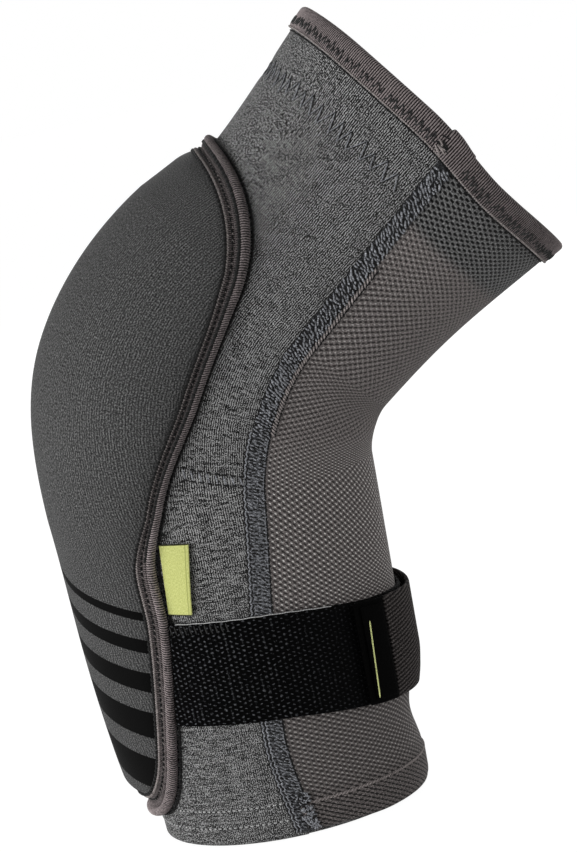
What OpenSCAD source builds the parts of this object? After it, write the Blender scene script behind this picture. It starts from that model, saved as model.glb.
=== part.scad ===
// Pre-bent elbow guard: a knit and mesh sleeve with a crowned foam pad on the elbow
// and a hook and loop strap round the forearm.
// The hem's centre is the origin, +Z runs up the forearm, +X points to the crook of the arm
// and -Y is the near side, which carries the label.
// Places on the sleeve are [way, turn, rise]: millimetres along the centre line from the hem,
// degrees round it from the crook, and millimetres off the inner face of the fabric.

/* [Sleeve] */
// Straight length of the forearm part, from the hem to the bend
forearm_len = 105; // [95:1:130]
// Radius of the bend, at the centre line
bend_radius = 63; // [60:1:80]
// Angle of the bend
bend_angle = 54; // [35:1:65]
// Straight length of the upper arm part, from the bend to the cuff
upper_len = 72; // [64:1:100]
// Inside radius at the hem, front to back
hem_radius = 41; // [38:0.5:44]
// Inside radius halfway up the forearm
forearm_radius = 43; // [40:0.5:46]
// Inside radius at the elbow
elbow_radius = 46; // [43:0.5:49]
// Inside radius above the bend
upper_radius = 46.5; // [44:0.5:50]
// Inside radius at the cuff
cuff_radius = 52.5; // [49:0.5:56]
// How much less the sleeve's radius is from side to side
side_squeeze = 3.6; // [0:0.2:6]

/* [Fabric] */
// Thickness of the knit and mesh fabric
fabric_t = 1.2; // [0.8:0.1:1.6]
// Air between neighbouring layers
layer_gap = 0.25; // [0.2:0.05:0.4]
// Air between pieces that move apart
move_gap = 0.35; // [0.3:0.05:0.5]
// Width of the flatlock seams between the knit and the mesh
seam_w = 5.5; // [4:0.5:8]
// Height of a row of stitching
stitch_h = 0.6; // [0.3:0.1:0.9]
// Turn of the mesh's edge at the hem
seam_turn_hem = 85; // [80:1:90]
// Turn of the mesh's edge below the strap
seam_turn_strap = 90; // [85:1:95]
// Turn of the mesh's edge at the elbow
seam_turn_elbow = 74.5; // [68:0.5:78]
// Turn of the mesh's edge at the cuff
seam_turn_cuff = 82; // [76:1:90]
// How far below the middle of the bend the cross seam meets the mesh
cross_front_drop = 24.5; // [18:0.5:30]
// How far below the middle of the bend the cross seam lies on the centre of the back
cross_back_drop = 6.5; // [0:0.5:14]
// Width of the cross seam's two rows of stitching
cross_w = 4; // [3:0.5:6]

/* [Hem and cuff] */
// Height of the turned-in hem
hem_h = 12; // [8:0.5:16]
// Thickness of the hem's facing and of the fold at its edge
hem_t = 1; // [0.7:0.1:1.3]
// Width of the tape that binds the cuff
binding_w = 7; // [5:0.5:10]
// Thickness of the binding tape
binding_t = 0.8; // [0.5:0.1:1.2]
// Length of the overlap where the binding tape is joined
join_len = 10; // [6:1:16]
// Width of the grip band inside the cuff
gripper_w = 17; // [10:1:22]
// Thickness of the grip band
gripper_t = 0.9; // [0.6:0.1:1.2]

/* [Pad] */
// Way up of the pad's lower edge
pad_toe = 8; // [6:0.5:12]
// How far above the middle of the bend the pad ends
pad_head_reach = 55.3; // [48:0.1:60]
// Half width of the pad below the strap, along the fabric
pad_toe_w = 38.5; // [36:0.5:42]
// Half width of the pad at the strap's upper edge
pad_strap_w = 45; // [42:0.5:48]
// Half width of the pad between the strap and the elbow
pad_neck_w = 47; // [44:0.5:54]
// How far below the middle of the bend the pad has that width
pad_neck_drop = 42.5; // [36:0.5:46]
// Half width of the pad at the elbow
pad_elbow_w = 65.5; // [60:0.5:70]
// How far below the middle of the bend the pad reaches that width
pad_elbow_drop = 2; // [0:0.5:10]
// Height of the pad at its lower edge, off the fabric's inner face
pad_toe_h = 9.6; // [7:0.1:13]
// Height of the pad on the forearm
pad_forearm_h = 11.7; // [8:0.1:15]
// Height of the pad on the point of the elbow
pad_elbow_h = 14.1; // [10:0.1:18]
// Height of the pad at its upper edge
pad_head_h = 4.8; // [3.2:0.1:6]
// How far below the middle of the bend the pad is highest
pad_peak_drop = 0; // [0:0.1:10]
// Air under the pad, from its flats to the fabric's
pad_gap = 0.6; // [0.6:0.05:0.8]
// Width over which the pad rises from its side edges
pad_side_round = 30; // [18:1:36]
// Length over which the pad rises from its ends
pad_end_round = 9; // [6:0.5:14]
// Thickness of the pad's cover
cover_t = 1.2; // [0.8:0.1:1.6]
// Diameter of the piping round the pad
piping_d = 3.7; // [3:0.1:4.5]
// Width of the flat binding inside the piping
pad_binding_w = 2.2; // [2:0.1:5]
// Thickness of that binding at its outer edge
pad_binding_t = 1; // [0.7:0.1:1.3]

/* [Strap] */
// Width of the strap
strap_w = 32; // [24:1:38]
// Thickness of the loop band, of the elastic band and of the tab
strap_t = 1.3; // [1:0.1:1.8]
// Way up of the strap's middle at the front
strap_front = 49; // [46:0.5:54]
// Way up of the strap's middle at the pad's edge
strap_back = 56; // [52:0.5:58]
// Turn at which the loop band ends, past the crook
loop_end_turn = 15; // [5:1:25]
// How far the elastic band stands off the fabric in the crook
strap_slack = 3.2; // [3:0.1:6]
// Turn at which the elastic band ends and the tab begins
tab_turn = 35; // [26:1:40]
// Length of the tab, along the band
tab_len = 11.5; // [10:0.5:18]
// Thickness of the hook patch under the tab
hook_t = 0.9; // [0.6:0.1:1.2]
// Edge left round the hook patch
hook_margin = 2; // [1:0.5:4]
// Thickness of the bare label on the tab
tab_label_t = 0.5; // [0.3:0.1:0.8]
// Edge left round the label on the tab
tab_label_margin = 1.5; // [0.5:0.5:3]

/* [Side label] */
// Width of the side label, from the piping to its fold
label_w = 10; // [6:0.5:12]
// Length of the side label
label_len = 22.5; // [16:0.5:26]
// Space between the strap's top edge and the side label
label_space = 1.8; // [1:0.1:6]
// Thickness of the folded side label
label_t = 0.7; // [0.5:0.1:1]
// How far its folded edge stands off the fabric
label_lift = 1; // [0.4:0.1:2]

/* [Hidden] */
knit_grey = "#6a6a6b";
mesh_grey = "#5c5652";
seam_grey = "#4b4d52";
cover_grey = "#4a4a4a";
trim_grey = "#5f5856";
band_black = "#161616";
label_green = "#c9d64f";
foam_yellow = "#d8c878";
silicone_grey = "#3a3a3c";

// Facet counts
round_steps = 60;
panel_cols = 24;
mesh_cols = 20;
lower_rows = 10;
upper_rows = 20;
mesh_rows = 28;
seam_rows = 36;
seam_cols = 2;
cross_cols = 6;
pad_rows = 34;
pad_cols = 16;
piping_sides = 8;
strap_rows = 4;
loop_cols = 20;
elastic_cols = 24;
tab_cols = 4;
label_steps = 4;

// Lengths along the centre line
bend_len = bend_radius * bend_angle * PI / 180;
sleeve_len = forearm_len + bend_len + upper_len;
upper_station = 0.35;
cuff_edge = sleeve_len - binding_w;

// Rises of the layers
fabric_out = fabric_t;
layer1 = fabric_out + layer_gap;
pad_base = fabric_out + pad_gap;
stitch_out = layer1 + stitch_h;
over_seam = stitch_out + layer_gap;
lining = -layer_gap;

// Middle of the bend, from which the pad and the cross seam are placed
elbow_way = forearm_len + bend_len / 2;
cross_front = elbow_way - cross_front_drop;
cross_back = elbow_way - cross_back_drop;
pad_head = elbow_way + pad_head_reach;
pad_peak = elbow_way - pad_peak_drop;

// Small helpers
function clamp01(x) = min(1, max(0, x));
function ease(x) = let (c = clamp01(x)) c * c * (3 - 2 * c);
function mix(a, b, x) = a + (b - a) * x;
function slope_at(p, i) =
    let (a = p[max(i - 1, 0)], b = p[min(i + 1, len(p) - 1)])
    (b[1] - a[1]) / (b[0] - a[0]);
function interval(p, x, i = 0) = i >= len(p) - 2 || x < p[i + 1][0] ? i : interval(p, x, i + 1);
// A smooth curve through the points of p, each [place, value]
function smooth(p, x) =
    let (i = interval(p, x), h = p[i + 1][0] - p[i][0], t = clamp01((x - p[i][0]) / h))
    (2 * pow(t, 3) - 3 * t * t + 1) * p[i][1] + (pow(t, 3) - 2 * t * t + t) * h * slope_at(p, i)
    + (3 * t * t - 2 * pow(t, 3)) * p[i + 1][1] + (pow(t, 3) - t * t) * h * slope_at(p, i + 1);
function steps(n) = [for (i = [0 : n]) i / n];
// Steps that crowd a little towards both ends
function eased_steps(n) = [for (x = steps(n)) (1 - cos(180 * x)) / 4 + x / 2];

// The sleeve's bent tube
function lean(way) = bend_angle * clamp01((way - forearm_len) / bend_len);
function past_bend(way) = max(0, way - forearm_len - bend_len);
function before_bend(way) = min(way, forearm_len);
function centre_x(way) = bend_radius * (1 - cos(lean(way))) + past_bend(way) * sin(bend_angle);
function centre_z(way) = before_bend(way) + bend_radius * sin(lean(way)) + past_bend(way) * cos(bend_angle);
radius_points = [
    [0, hem_radius],
    [forearm_len / 2, forearm_radius],
    [elbow_way, elbow_radius],
    [forearm_len + bend_len + upper_station * upper_len, upper_radius],
    [sleeve_len, cuff_radius]
];
function radius(way) = smooth(radius_points, way);
function skin(way, turn, rise) =
    let (
        depth = (radius(way) + rise) * cos(turn),
        side = (radius(way) - side_squeeze + rise) * sin(turn)
    )
    [centre_x(way) + depth * cos(lean(way)), side, centre_z(way) - depth * sin(lean(way))];
function outward(way, turn) = [cos(turn) * cos(lean(way)), sin(turn), -cos(turn) * sin(lean(way))];
// Degrees round the sleeve for a length along the fabric
function as_turn(along, way) = along / radius(way) * 180 / PI;

// Edge of the mesh panel, in degrees from the crook
seam_points = [
    [0, seam_turn_hem],
    [strap_front - strap_w / 2, seam_turn_strap],
    [elbow_way, seam_turn_elbow],
    [sleeve_len, seam_turn_cuff]
];
function seam_turn(way) = smooth(seam_points, way);
function seam_half(way) = as_turn(seam_w / 2, way);
function edge_half(way) = as_turn(move_gap / 2, way);
// Way up of the cross seam, from one mesh edge (0) round the back (0.5) to the other (1)
function cross_way(across) = mix(cross_front, cross_back, 1 - abs(2 * across - 1));
// Turn of a knit panel, from the near mesh edge round the back to the far one
function knit_turn(way, across) =
    let (first = seam_turn(way) + edge_half(way))
    -first - across * (360 - 2 * first);

// The pad's outline on the fabric: a squared oval that is wider at the elbow
oval_power = 3.75;
pad_mid = (pad_toe + pad_head) / 2;
pad_half_len = (pad_head - pad_toe) / 2;
tape_inset = piping_d + layer_gap;
cover_inset = tape_inset + pad_binding_w + move_gap;
end_share = 0.999;
width_points = [
    [pad_toe, pad_toe_w],
    [strap_front - strap_w / 2, pad_toe_w],
    [strap_back + strap_w / 2, pad_strap_w],
    [elbow_way - pad_neck_drop, pad_neck_w],
    [elbow_way - pad_elbow_drop, pad_elbow_w],
    [pad_head, pad_elbow_w]
];
function pad_w(way) = smooth(width_points, way);
function oval(x) = pow(max(0, 1 - pow(min(1, abs(x)), oval_power)), 1 / oval_power);
function pad_side(way, inset) = (pad_w(way) - inset) * oval((way - pad_mid) / (pad_half_len - inset));
// Way up of a step from the toe (0) to the head (1), crowded towards the ends
function pad_way(x, inset, share = end_share) = pad_mid - (pad_half_len - inset) * share * cos(180 * x);
function on_pad(way, along, rise) = skin(way, 180 - as_turn(along, way), rise);
// Height of the pad's crown
crown_power = 2.2;
rise_points = [
    [pad_toe, pad_toe_h],
    [strap_back, pad_forearm_h],
    [pad_peak - (pad_head - pad_peak) / 2, pad_forearm_h],
    [pad_peak, pad_elbow_h],
    [pad_head, pad_head_h]
];
function swell(x) = 1 - pow(1 - clamp01(x), crown_power);
edge_rise = pad_base + pad_binding_t;
function pad_rise(way, along) =
    let (
        from_side = pad_side(way, tape_inset) - abs(along),
        from_end = min(way - pad_toe, pad_head - way) - tape_inset
    )
    edge_rise + (smooth(rise_points, way) - edge_rise)
    * swell(from_side / pad_side_round) * swell(from_end / pad_end_round);

// Turn at which a piece meets the piping
function piping_turn(way) = 180 - as_turn(pad_side(way, 0) + move_gap, way);

// The strap, lowest at the front and rising to its two ends at the piping
anchor_turn = piping_turn(strap_back);
function strap_mid(turn) = mix(strap_front, strap_back, clamp01(abs(turn) / anchor_turn));
function anchor_edge(u) = piping_turn(strap_back + strap_w * (u - 0.5));
// The loop band lies on the mesh at the front and climbs over the seam at the side
seam_flank = seam_turn(strap_front);
climb_from = 45;
climb_turn = 25;
function loop_rise(turn) = mix(layer1, over_seam, ease((-turn - seam_flank + climb_from) / climb_turn));
function tab_rise(turn) = loop_rise(turn) + strap_t + move_gap + hook_t + layer_gap;
tab_end_turn = -tab_turn - as_turn(tab_len, strap_front);
elastic_points = [
    [-tab_turn, tab_rise(-tab_turn)],
    [0, strap_slack + fabric_out],
    [loop_end_turn, strap_slack + fabric_out],
    [seam_flank, over_seam + move_gap],
    [anchor_turn, fabric_out + move_gap]
];
function elastic_rise(turn) = smooth(elastic_points, turn);

// A closed sheet between two grids of points: u runs up the sleeve, v clockwise seen from the cuff
module sheet(us, vs, outer, inner) {
    rows = len(us);
    cols = len(vs);
    count = rows * cols;
    points = concat([for (u = us, v = vs) outer(u, v)], [for (u = us, v = vs) inner(u, v)]);
    rim = concat(
        [for (j = [0 : cols - 2]) j],
        [for (i = [0 : rows - 2]) i * cols + cols - 1],
        [for (j = [cols - 1 : -1 : 1]) (rows - 1) * cols + j],
        [for (i = [rows - 1 : -1 : 1]) i * cols]
    );
    skins = [
        for (i = [0 : rows - 2], j = [0 : cols - 2])
        let (a = i * cols + j, b = a + 1, c = a + cols, d = c + 1)
        each [[a, b, c], [b, d, c], [a + count, c + count, b + count], [b + count, c + count, d + count]]
    ];
    walls = [
        for (k = [0 : len(rim) - 1])
        let (a = rim[k], b = rim[(k + 1) % len(rim)])
        each [[b, a, a + count], [b, a + count, b + count]]
    ];
    polyhedron(points, concat(skins, walls));
}

// A closed loop of sections, each a ring of points
module loop_sweep(sections) {
    rows = len(sections);
    cols = len(sections[0]);
    faces = [
        for (i = [0 : rows - 1], j = [0 : cols - 1])
        let (
            a = i * cols + j, b = i * cols + (j + 1) % cols,
            c = (i + 1) % rows * cols + j, d = (i + 1) % rows * cols + (j + 1) % cols
        )
        each [[a, b, c], [b, d, c]]
    ];
    polyhedron([for (ring = sections) each ring], faces);
}

// A ring round the sleeve with a profile of [way, rise] points
module sleeve_ring(profile) {
    loop_sweep([
        for (i = [0 : round_steps - 1])
        [for (p = profile) skin(p[0], 360 * i / round_steps, p[1])]
    ]);
}

module lower_knit_panel() {
    way = function(u, v) mix(hem_t + layer_gap, cross_way(v) - move_gap / 2, u);
    color(knit_grey)
    sheet(
        steps(lower_rows), steps(panel_cols),
        function(u, v) skin(way(u, v), knit_turn(way(u, v), v), fabric_out),
        function(u, v) skin(way(u, v), knit_turn(way(u, v), v), 0)
    );
}

module upper_knit_panel() {
    way = function(u, v) mix(cross_way(v) + move_gap / 2, sleeve_len - layer_gap, u);
    color(knit_grey)
    sheet(
        steps(upper_rows), steps(panel_cols),
        function(u, v) skin(way(u, v), knit_turn(way(u, v), v), fabric_out),
        function(u, v) skin(way(u, v), knit_turn(way(u, v), v), 0)
    );
}

module mesh_panel() {
    way = function(u) mix(hem_t + layer_gap, sleeve_len - layer_gap, u);
    turn = function(u, v) (seam_turn(way(u)) - edge_half(way(u))) * (1 - 2 * v);
    color(mesh_grey)
    sheet(
        steps(mesh_rows), steps(mesh_cols),
        function(u, v) skin(way(u), turn(u, v), fabric_out),
        function(u, v) skin(way(u), turn(u, v), 0)
    );
}

// The stitched strip over a knit and mesh joint, side -1 near and 1 far
module flatlock_seam(side) {
    way = function(u) mix(hem_t + layer_gap, cuff_edge - layer_gap, u);
    turn = function(u, v) side * seam_turn(way(u)) + seam_half(way(u)) * (1 - 2 * v);
    color(seam_grey)
    sheet(
        steps(seam_rows), steps(seam_cols),
        function(u, v) skin(way(u), turn(u, v), stitch_out),
        function(u, v) skin(way(u), turn(u, v), layer1)
    );
}

module near_flatlock_seam() {
    flatlock_seam(-1);
}

module far_flatlock_seam() {
    flatlock_seam(1);
}

// The stitched strip over the joint of the two knit panels, from the mesh seam to the piping
module cross_seam(side) {
    full = 360 - 2 * seam_turn(cross_front);
    share = function(turn) (turn - seam_turn(cross_front)) / full;
    end_way = cross_way(share(piping_turn(cross_front)));
    first = share(seam_turn(cross_front) + seam_half(cross_front) + as_turn(move_gap, cross_front));
    last = function(u) share(piping_turn(end_way + cross_w * (u - 0.5)) - as_turn(move_gap, end_way));
    across = function(u, v) mix(first, last(u), v);
    way = function(u, v) cross_way(across(u, v)) + cross_w * (u - 0.5);
    turn = function(u, v) knit_turn(cross_way(across(u, v)), across(u, v));
    ends = side < 0 ? steps(cross_cols) : [for (v = steps(cross_cols)) 1 - v];
    color(seam_grey)
    sheet(
        steps(seam_cols), ends,
        function(u, v) skin(way(u, v), -side * turn(u, v), stitch_out),
        function(u, v) skin(way(u, v), -side * turn(u, v), layer1)
    );
}

module near_cross_seam() {
    cross_seam(-1);
}

module far_cross_seam() {
    cross_seam(1);
}

// The turned-in hem: a facing inside the sleeve and the fold under its edge
module hem_facing() {
    inner = lining - hem_t;
    color(knit_grey)
    sleeve_ring([
        [0, fabric_out], [hem_t, fabric_out], [hem_t, lining],
        [hem_h, lining], [hem_h, inner], [0, inner]
    ]);
}

// A tape folded over the cuff's edge
module cuff_binding() {
    inner = lining - binding_t;
    top = sleeve_len + binding_t;
    color(trim_grey)
    sleeve_ring([
        [cuff_edge, layer1 + binding_t], [top, layer1 + binding_t], [top, inner], [cuff_edge, inner],
        [cuff_edge, lining], [sleeve_len, lining], [sleeve_len, layer1], [cuff_edge, layer1]
    ]);
}

// The tape's overlapped end, on the near seam
module cuff_binding_join() {
    bottom = layer1 + binding_t + layer_gap;
    half = as_turn(join_len / 2, sleeve_len);
    way = function(u) mix(cuff_edge, sleeve_len + binding_t, u);
    turn = function(v) -seam_turn_cuff + half * (1 - 2 * v);
    color(trim_grey)
    sheet(
        steps(label_steps), steps(label_steps),
        function(u, v) skin(way(u), turn(v), bottom + binding_t),
        function(u, v) skin(way(u), turn(v), bottom)
    );
}

// The grip band inside the cuff
module cuff_gripper() {
    top = cuff_edge - layer_gap;
    color(silicone_grey)
    sleeve_ring([
        [top - gripper_w, lining], [top, lining],
        [top, lining - gripper_t], [top - gripper_w, lining - gripper_t]
    ]);
}

// The foam core, which fills the space under the cover
module pad_foam() {
    way = function(u) pad_way(u, cover_inset);
    along = function(u, v) pad_side(way(u), cover_inset) * (2 * v - 1);
    color(foam_yellow)
    sheet(
        steps(pad_rows), eased_steps(pad_cols),
        function(u, v) on_pad(way(u), along(u, v), pad_rise(way(u), along(u, v)) - cover_t - layer_gap),
        function(u, v) on_pad(way(u), along(u, v), pad_base)
    );
}

// The crowned cover, whose edge meets the tape
module pad_cover() {
    way = function(u) pad_way(u, cover_inset);
    along = function(u, v) pad_side(way(u), cover_inset) * (2 * v - 1);
    color(cover_grey)
    sheet(
        steps(pad_rows), eased_steps(pad_cols),
        function(u, v) on_pad(way(u), along(u, v), pad_rise(way(u), along(u, v))),
        function(u, v) on_pad(way(u), along(u, v), pad_rise(way(u), along(u, v)) - cover_t)
    );
}

// Stations round the pad's outline, each [way, along], up the near side and down the far side
// The cover's own rows, with finer steps where the outline rounds its two ends
end_steps = [0, 0.25, 0.5];
outline_steps = concat(
    end_steps / pad_rows,
    [for (i = [1 : pad_rows - 1]) i / pad_rows],
    [for (i = [len(end_steps) - 1 : -1 : 0]) 1 - end_steps[i] / pad_rows]
);
last_step = len(outline_steps) - 1;
function outline(inset) = concat(
    [for (i = [0 : last_step - 1]) let (w = pad_way(outline_steps[i], inset, 1)) [w, -pad_side(w, inset)]],
    [for (i = [last_step : -1 : 1]) let (w = pad_way(outline_steps[i], inset, 1)) [w, pad_side(w, inset)]]
);

// The tape that binds the pad's edge, between the piping and the cover
module pad_binding() {
    outer = outline(tape_inset);
    inner = outline(tape_inset + pad_binding_w);
    base = function(p) on_pad(p[0], p[1], pad_base);
    top = function(p) on_pad(p[0], p[1], pad_rise(p[0], p[1]));
    color(trim_grey)
    loop_sweep([
        for (i = [0 : len(outer) - 1])
        [base(outer[i]), top(outer[i]), top(inner[i]), base(inner[i])]
    ]);
}

// A round roll that edges the pad
module pad_piping() {
    path = outline(piping_d / 2);
    middle = [for (p = path) on_pad(p[0], p[1], pad_base + piping_d / 2)];
    count = len(path);
    color(trim_grey)
    loop_sweep([
        for (i = [0 : count - 1])
        let (
            ahead = middle[(i + 1) % count] - middle[(i + count - 1) % count],
            up = outward(path[i][0], 180 - as_turn(path[i][1], path[i][0])),
            side = cross(ahead, up) / norm(cross(ahead, up))
        )
        [
            for (j = [0 : piping_sides - 1])
            let (a = 360 * j / piping_sides)
            middle[i] + piping_d / 2 * (cos(a) * side + sin(a) * up)
        ]
    ]);
}

// A folded ribbon, sewn in along a straight edge beside the piping
module side_label() {
    bottom = strap_back + strap_w / 2 + label_space;
    way = function(u) bottom + label_len * u;
    sewn = function(u) mix(piping_turn(bottom), piping_turn(bottom + label_len), u);
    turn = function(u, v) -sewn(u) + as_turn(label_w * (1 - v), way(u));
    rise = function(v) fabric_out + move_gap + label_lift * (1 - v);
    color(label_green)
    sheet(
        steps(label_steps), steps(label_steps),
        function(u, v) skin(way(u), turn(u, v), rise(v) + label_t),
        function(u, v) skin(way(u), turn(u, v), rise(v))
    );
}

// A length of the strap between two turns, which may change across it, narrowed by a margin at its edges
module strap_length(from, to, count, margin, base, thick) {
    turn = function(u, v) mix(from(u), to(u), v);
    way = function(u, v) strap_mid(turn(0.5, v)) + (strap_w - 2 * margin) * (u - 0.5);
    sheet(
        steps(strap_rows), steps(count),
        function(u, v) skin(way(u, v), turn(u, v), base(turn(u, v)) + thick),
        function(u, v) skin(way(u, v), turn(u, v), base(turn(u, v)))
    );
}

// The loop band, sewn in at the near side of the pad
module strap_loop_band() {
    color(band_black)
    strap_length(
        function(u) loop_end_turn, function(u) -anchor_edge(u), loop_cols, 0,
        function(t) loop_rise(t), strap_t
    );
}

// The elastic band, sewn in at the far side of the pad
module strap_elastic_band() {
    last = -tab_turn + as_turn(move_gap, strap_front);
    color(band_black)
    strap_length(
        function(u) anchor_edge(u), function(u) last, elastic_cols, 0,
        function(t) elastic_rise(t), strap_t
    );
}

// The band's loose end, which is pulled to open the strap
module strap_tab() {
    color(band_black)
    strap_length(
        function(u) -tab_turn, function(u) tab_end_turn, tab_cols, 0,
        function(t) tab_rise(t), strap_t
    );
}

module hook_patch() {
    edge = as_turn(hook_margin, strap_front);
    color(band_black)
    strap_length(
        function(u) -tab_turn - edge, function(u) tab_end_turn + edge, tab_cols, hook_margin,
        function(t) tab_rise(t) - layer_gap - hook_t, hook_t
    );
}

module tab_label() {
    edge = as_turn(tab_label_margin, strap_front);
    color(band_black)
    strap_length(
        function(u) -tab_turn - edge, function(u) tab_end_turn + edge, tab_cols, tab_label_margin,
        function(t) tab_rise(t) + strap_t + layer_gap, tab_label_t
    );
}

lower_knit_panel();
upper_knit_panel();
mesh_panel();
near_flatlock_seam();
far_flatlock_seam();
near_cross_seam();
far_cross_seam();
hem_facing();
cuff_binding();
cuff_binding_join();
cuff_gripper();
pad_foam();
pad_cover();
pad_binding();
pad_piping();
side_label();
strap_loop_band();
strap_elastic_band();
strap_tab();
hook_patch();
tab_label();
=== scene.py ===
import math

import bmesh
import bpy
import numpy as np
from mathutils import Matrix, Vector


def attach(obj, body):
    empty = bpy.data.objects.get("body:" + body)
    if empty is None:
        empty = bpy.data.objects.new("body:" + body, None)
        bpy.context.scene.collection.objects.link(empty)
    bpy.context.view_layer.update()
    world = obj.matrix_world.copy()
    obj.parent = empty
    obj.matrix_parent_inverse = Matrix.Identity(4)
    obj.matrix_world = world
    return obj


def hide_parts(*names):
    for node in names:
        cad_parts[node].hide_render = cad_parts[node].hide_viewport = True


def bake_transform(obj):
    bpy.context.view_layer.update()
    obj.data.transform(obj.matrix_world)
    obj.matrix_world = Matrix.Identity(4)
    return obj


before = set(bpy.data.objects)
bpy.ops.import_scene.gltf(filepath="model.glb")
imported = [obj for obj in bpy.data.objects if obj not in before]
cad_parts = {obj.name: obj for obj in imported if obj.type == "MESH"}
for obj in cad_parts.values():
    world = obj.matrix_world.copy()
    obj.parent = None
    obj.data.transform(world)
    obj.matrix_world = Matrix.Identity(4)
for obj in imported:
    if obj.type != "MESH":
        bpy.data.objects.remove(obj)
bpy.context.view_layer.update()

# Sizes in millimetres and degrees, the same as the solids have
MM = 0.001
FOREARM_LEN, BEND_RADIUS, BEND_ANGLE, UPPER_LEN = 105, 63, 54, 72
HEM_RADIUS, FOREARM_RADIUS, ELBOW_RADIUS, UPPER_RADIUS, CUFF_RADIUS = 41, 43, 46, 46.5, 52.5
SIDE_SQUEEZE = 3.6
FABRIC_T, LAYER_GAP, MOVE_GAP = 1.2, 0.25, 0.35
SEAM_W, STITCH_H = 5.5, 0.6
SEAM_TURN_HEM, SEAM_TURN_STRAP, SEAM_TURN_ELBOW, SEAM_TURN_CUFF = 85, 90, 74.5, 82
CROSS_FRONT_DROP, CROSS_BACK_DROP, CROSS_W = 24.5, 6.5, 4
HEM_H, HEM_T = 12, 1
BINDING_W, BINDING_T, JOIN_LEN = 7, 0.8, 10
GRIPPER_W, GRIPPER_T = 17, 0.9
PAD_TOE, PAD_HEAD_REACH, PAD_NECK_DROP, PAD_ELBOW_DROP = 8, 55.3, 42.5, 2
PAD_TOE_W, PAD_STRAP_W, PAD_NECK_W, PAD_ELBOW_W = 38.5, 45, 47, 65.5
PAD_TOE_H, PAD_FOREARM_H, PAD_ELBOW_H, PAD_HEAD_H, PAD_PEAK_DROP = 9.6, 11.7, 14.1, 4.8, 0
PAD_GAP, PAD_SIDE_ROUND, PAD_END_ROUND, COVER_T = 0.6, 30, 9, 1.2
PIPING_D, PAD_BINDING_W, PAD_BINDING_T = 3.7, 2.2, 1
STRAP_W, STRAP_T, STRAP_FRONT, STRAP_BACK = 32, 1.3, 49, 56
LOOP_END_TURN, STRAP_SLACK, TAB_TURN, TAB_LEN = 15, 3.2, 35, 11.5
HOOK_T, HOOK_MARGIN, TAB_LABEL_T, TAB_LABEL_MARGIN = 0.9, 2, 0.5, 1.5
LABEL_W, LABEL_LEN, LABEL_SPACE, LABEL_T, LABEL_LIFT = 10, 22.5, 1.8, 0.7, 1

# Sizes that follow from them
BEND_LEN = BEND_RADIUS * math.radians(BEND_ANGLE)
SLEEVE_LEN = FOREARM_LEN + BEND_LEN + UPPER_LEN
CUFF_EDGE = SLEEVE_LEN - BINDING_W
LAYER1 = FABRIC_T + LAYER_GAP
PAD_BASE = FABRIC_T + PAD_GAP
STITCH_OUT = LAYER1 + STITCH_H
OVER_SEAM = STITCH_OUT + LAYER_GAP
LINING = -LAYER_GAP
# Just off the cloth's outer face, where what lies on it starts
ON_CLOTH = FABRIC_T + 0.02
ELBOW_WAY = FOREARM_LEN + BEND_LEN / 2
CROSS_FRONT = ELBOW_WAY - CROSS_FRONT_DROP
CROSS_BACK = ELBOW_WAY - CROSS_BACK_DROP
PAD_HEAD = ELBOW_WAY + PAD_HEAD_REACH
PAD_PEAK = ELBOW_WAY - PAD_PEAK_DROP
PAD_MID, PAD_HALF_LEN = (PAD_TOE + PAD_HEAD) / 2, (PAD_HEAD - PAD_TOE) / 2
TAPE_INSET = PIPING_D + LAYER_GAP
COVER_INSET = TAPE_INSET + PAD_BINDING_W + MOVE_GAP
OVAL_POWER, CROWN_POWER = 3.75, 2.2
EDGE_RISE = PAD_BASE + PAD_BINDING_T
UPPER_STATION = 0.35
# Radius at which lengths round the sleeve are counted for the cloth patterns
PATTERN_RADIUS = 43


def clamp01(x):
    return np.clip(x, 0.0, 1.0)


def ease(x):
    x = clamp01(x)
    return x * x * (3 - 2 * x)


def mix(a, b, x):
    return a + (b - a) * x


def even_steps(count):
    """A row of steps from 0 to 1."""
    return np.linspace(0, 1, count)[None]


def pairs(first, second):
    """Two arrays put together as pairs, such as cloth coordinates."""
    return np.stack(np.broadcast_arrays(first, second), -1)


def distances(parts):
    """How far along a line each of its points is, from the lengths of its parts."""
    return np.concatenate([[0], np.cumsum(parts)])


def curve(*points):
    """The smooth curve through [place, value] points, as a function of the place."""
    place, value = np.array(points, float).T
    index = np.arange(len(place))
    before, after = np.maximum(index - 1, 0), np.minimum(index + 1, len(place) - 1)
    slope = (value[after] - value[before]) / (place[after] - place[before])

    def at(x):
        x = np.asarray(x, float)
        i = np.clip(np.searchsorted(place, x, side="right") - 1, 0, len(place) - 2)
        h = place[i + 1] - place[i]
        t = clamp01((x - place[i]) / h)
        start = (2 * t**3 - 3 * t**2 + 1) * value[i] + (t**3 - 2 * t**2 + t) * h * slope[i]
        end = (3 * t**2 - 2 * t**3) * value[i + 1] + (t**3 - t**2) * h * slope[i + 1]
        return start + end

    return at


# The sleeve's bent tube: way along it from the hem, turn round it from the crook, rise off its inner face


def lean(way):
    return math.radians(BEND_ANGLE) * clamp01((way - FOREARM_LEN) / BEND_LEN)


radius = curve(
    [0, HEM_RADIUS],
    [FOREARM_LEN / 2, FOREARM_RADIUS],
    [ELBOW_WAY, ELBOW_RADIUS],
    [FOREARM_LEN + BEND_LEN + UPPER_STATION * UPPER_LEN, UPPER_RADIUS],
    [SLEEVE_LEN, CUFF_RADIUS],
)


# How far the soft cloth settles from the plain tube: the knit edge of the cuff stands higher than the mesh
# edge, the upper sleeve is a little slimmer, and the strap draws the mesh in above the hem
CUFF_STAND, CUFF_STAND_FROM = 2.6, 180
SLIM, SLIM_FROM, SLIM_LEN = 1.3, 120, 40
WAIST, WAIST_MID, WAIST_HALF = 2.0, 23, 13
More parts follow.
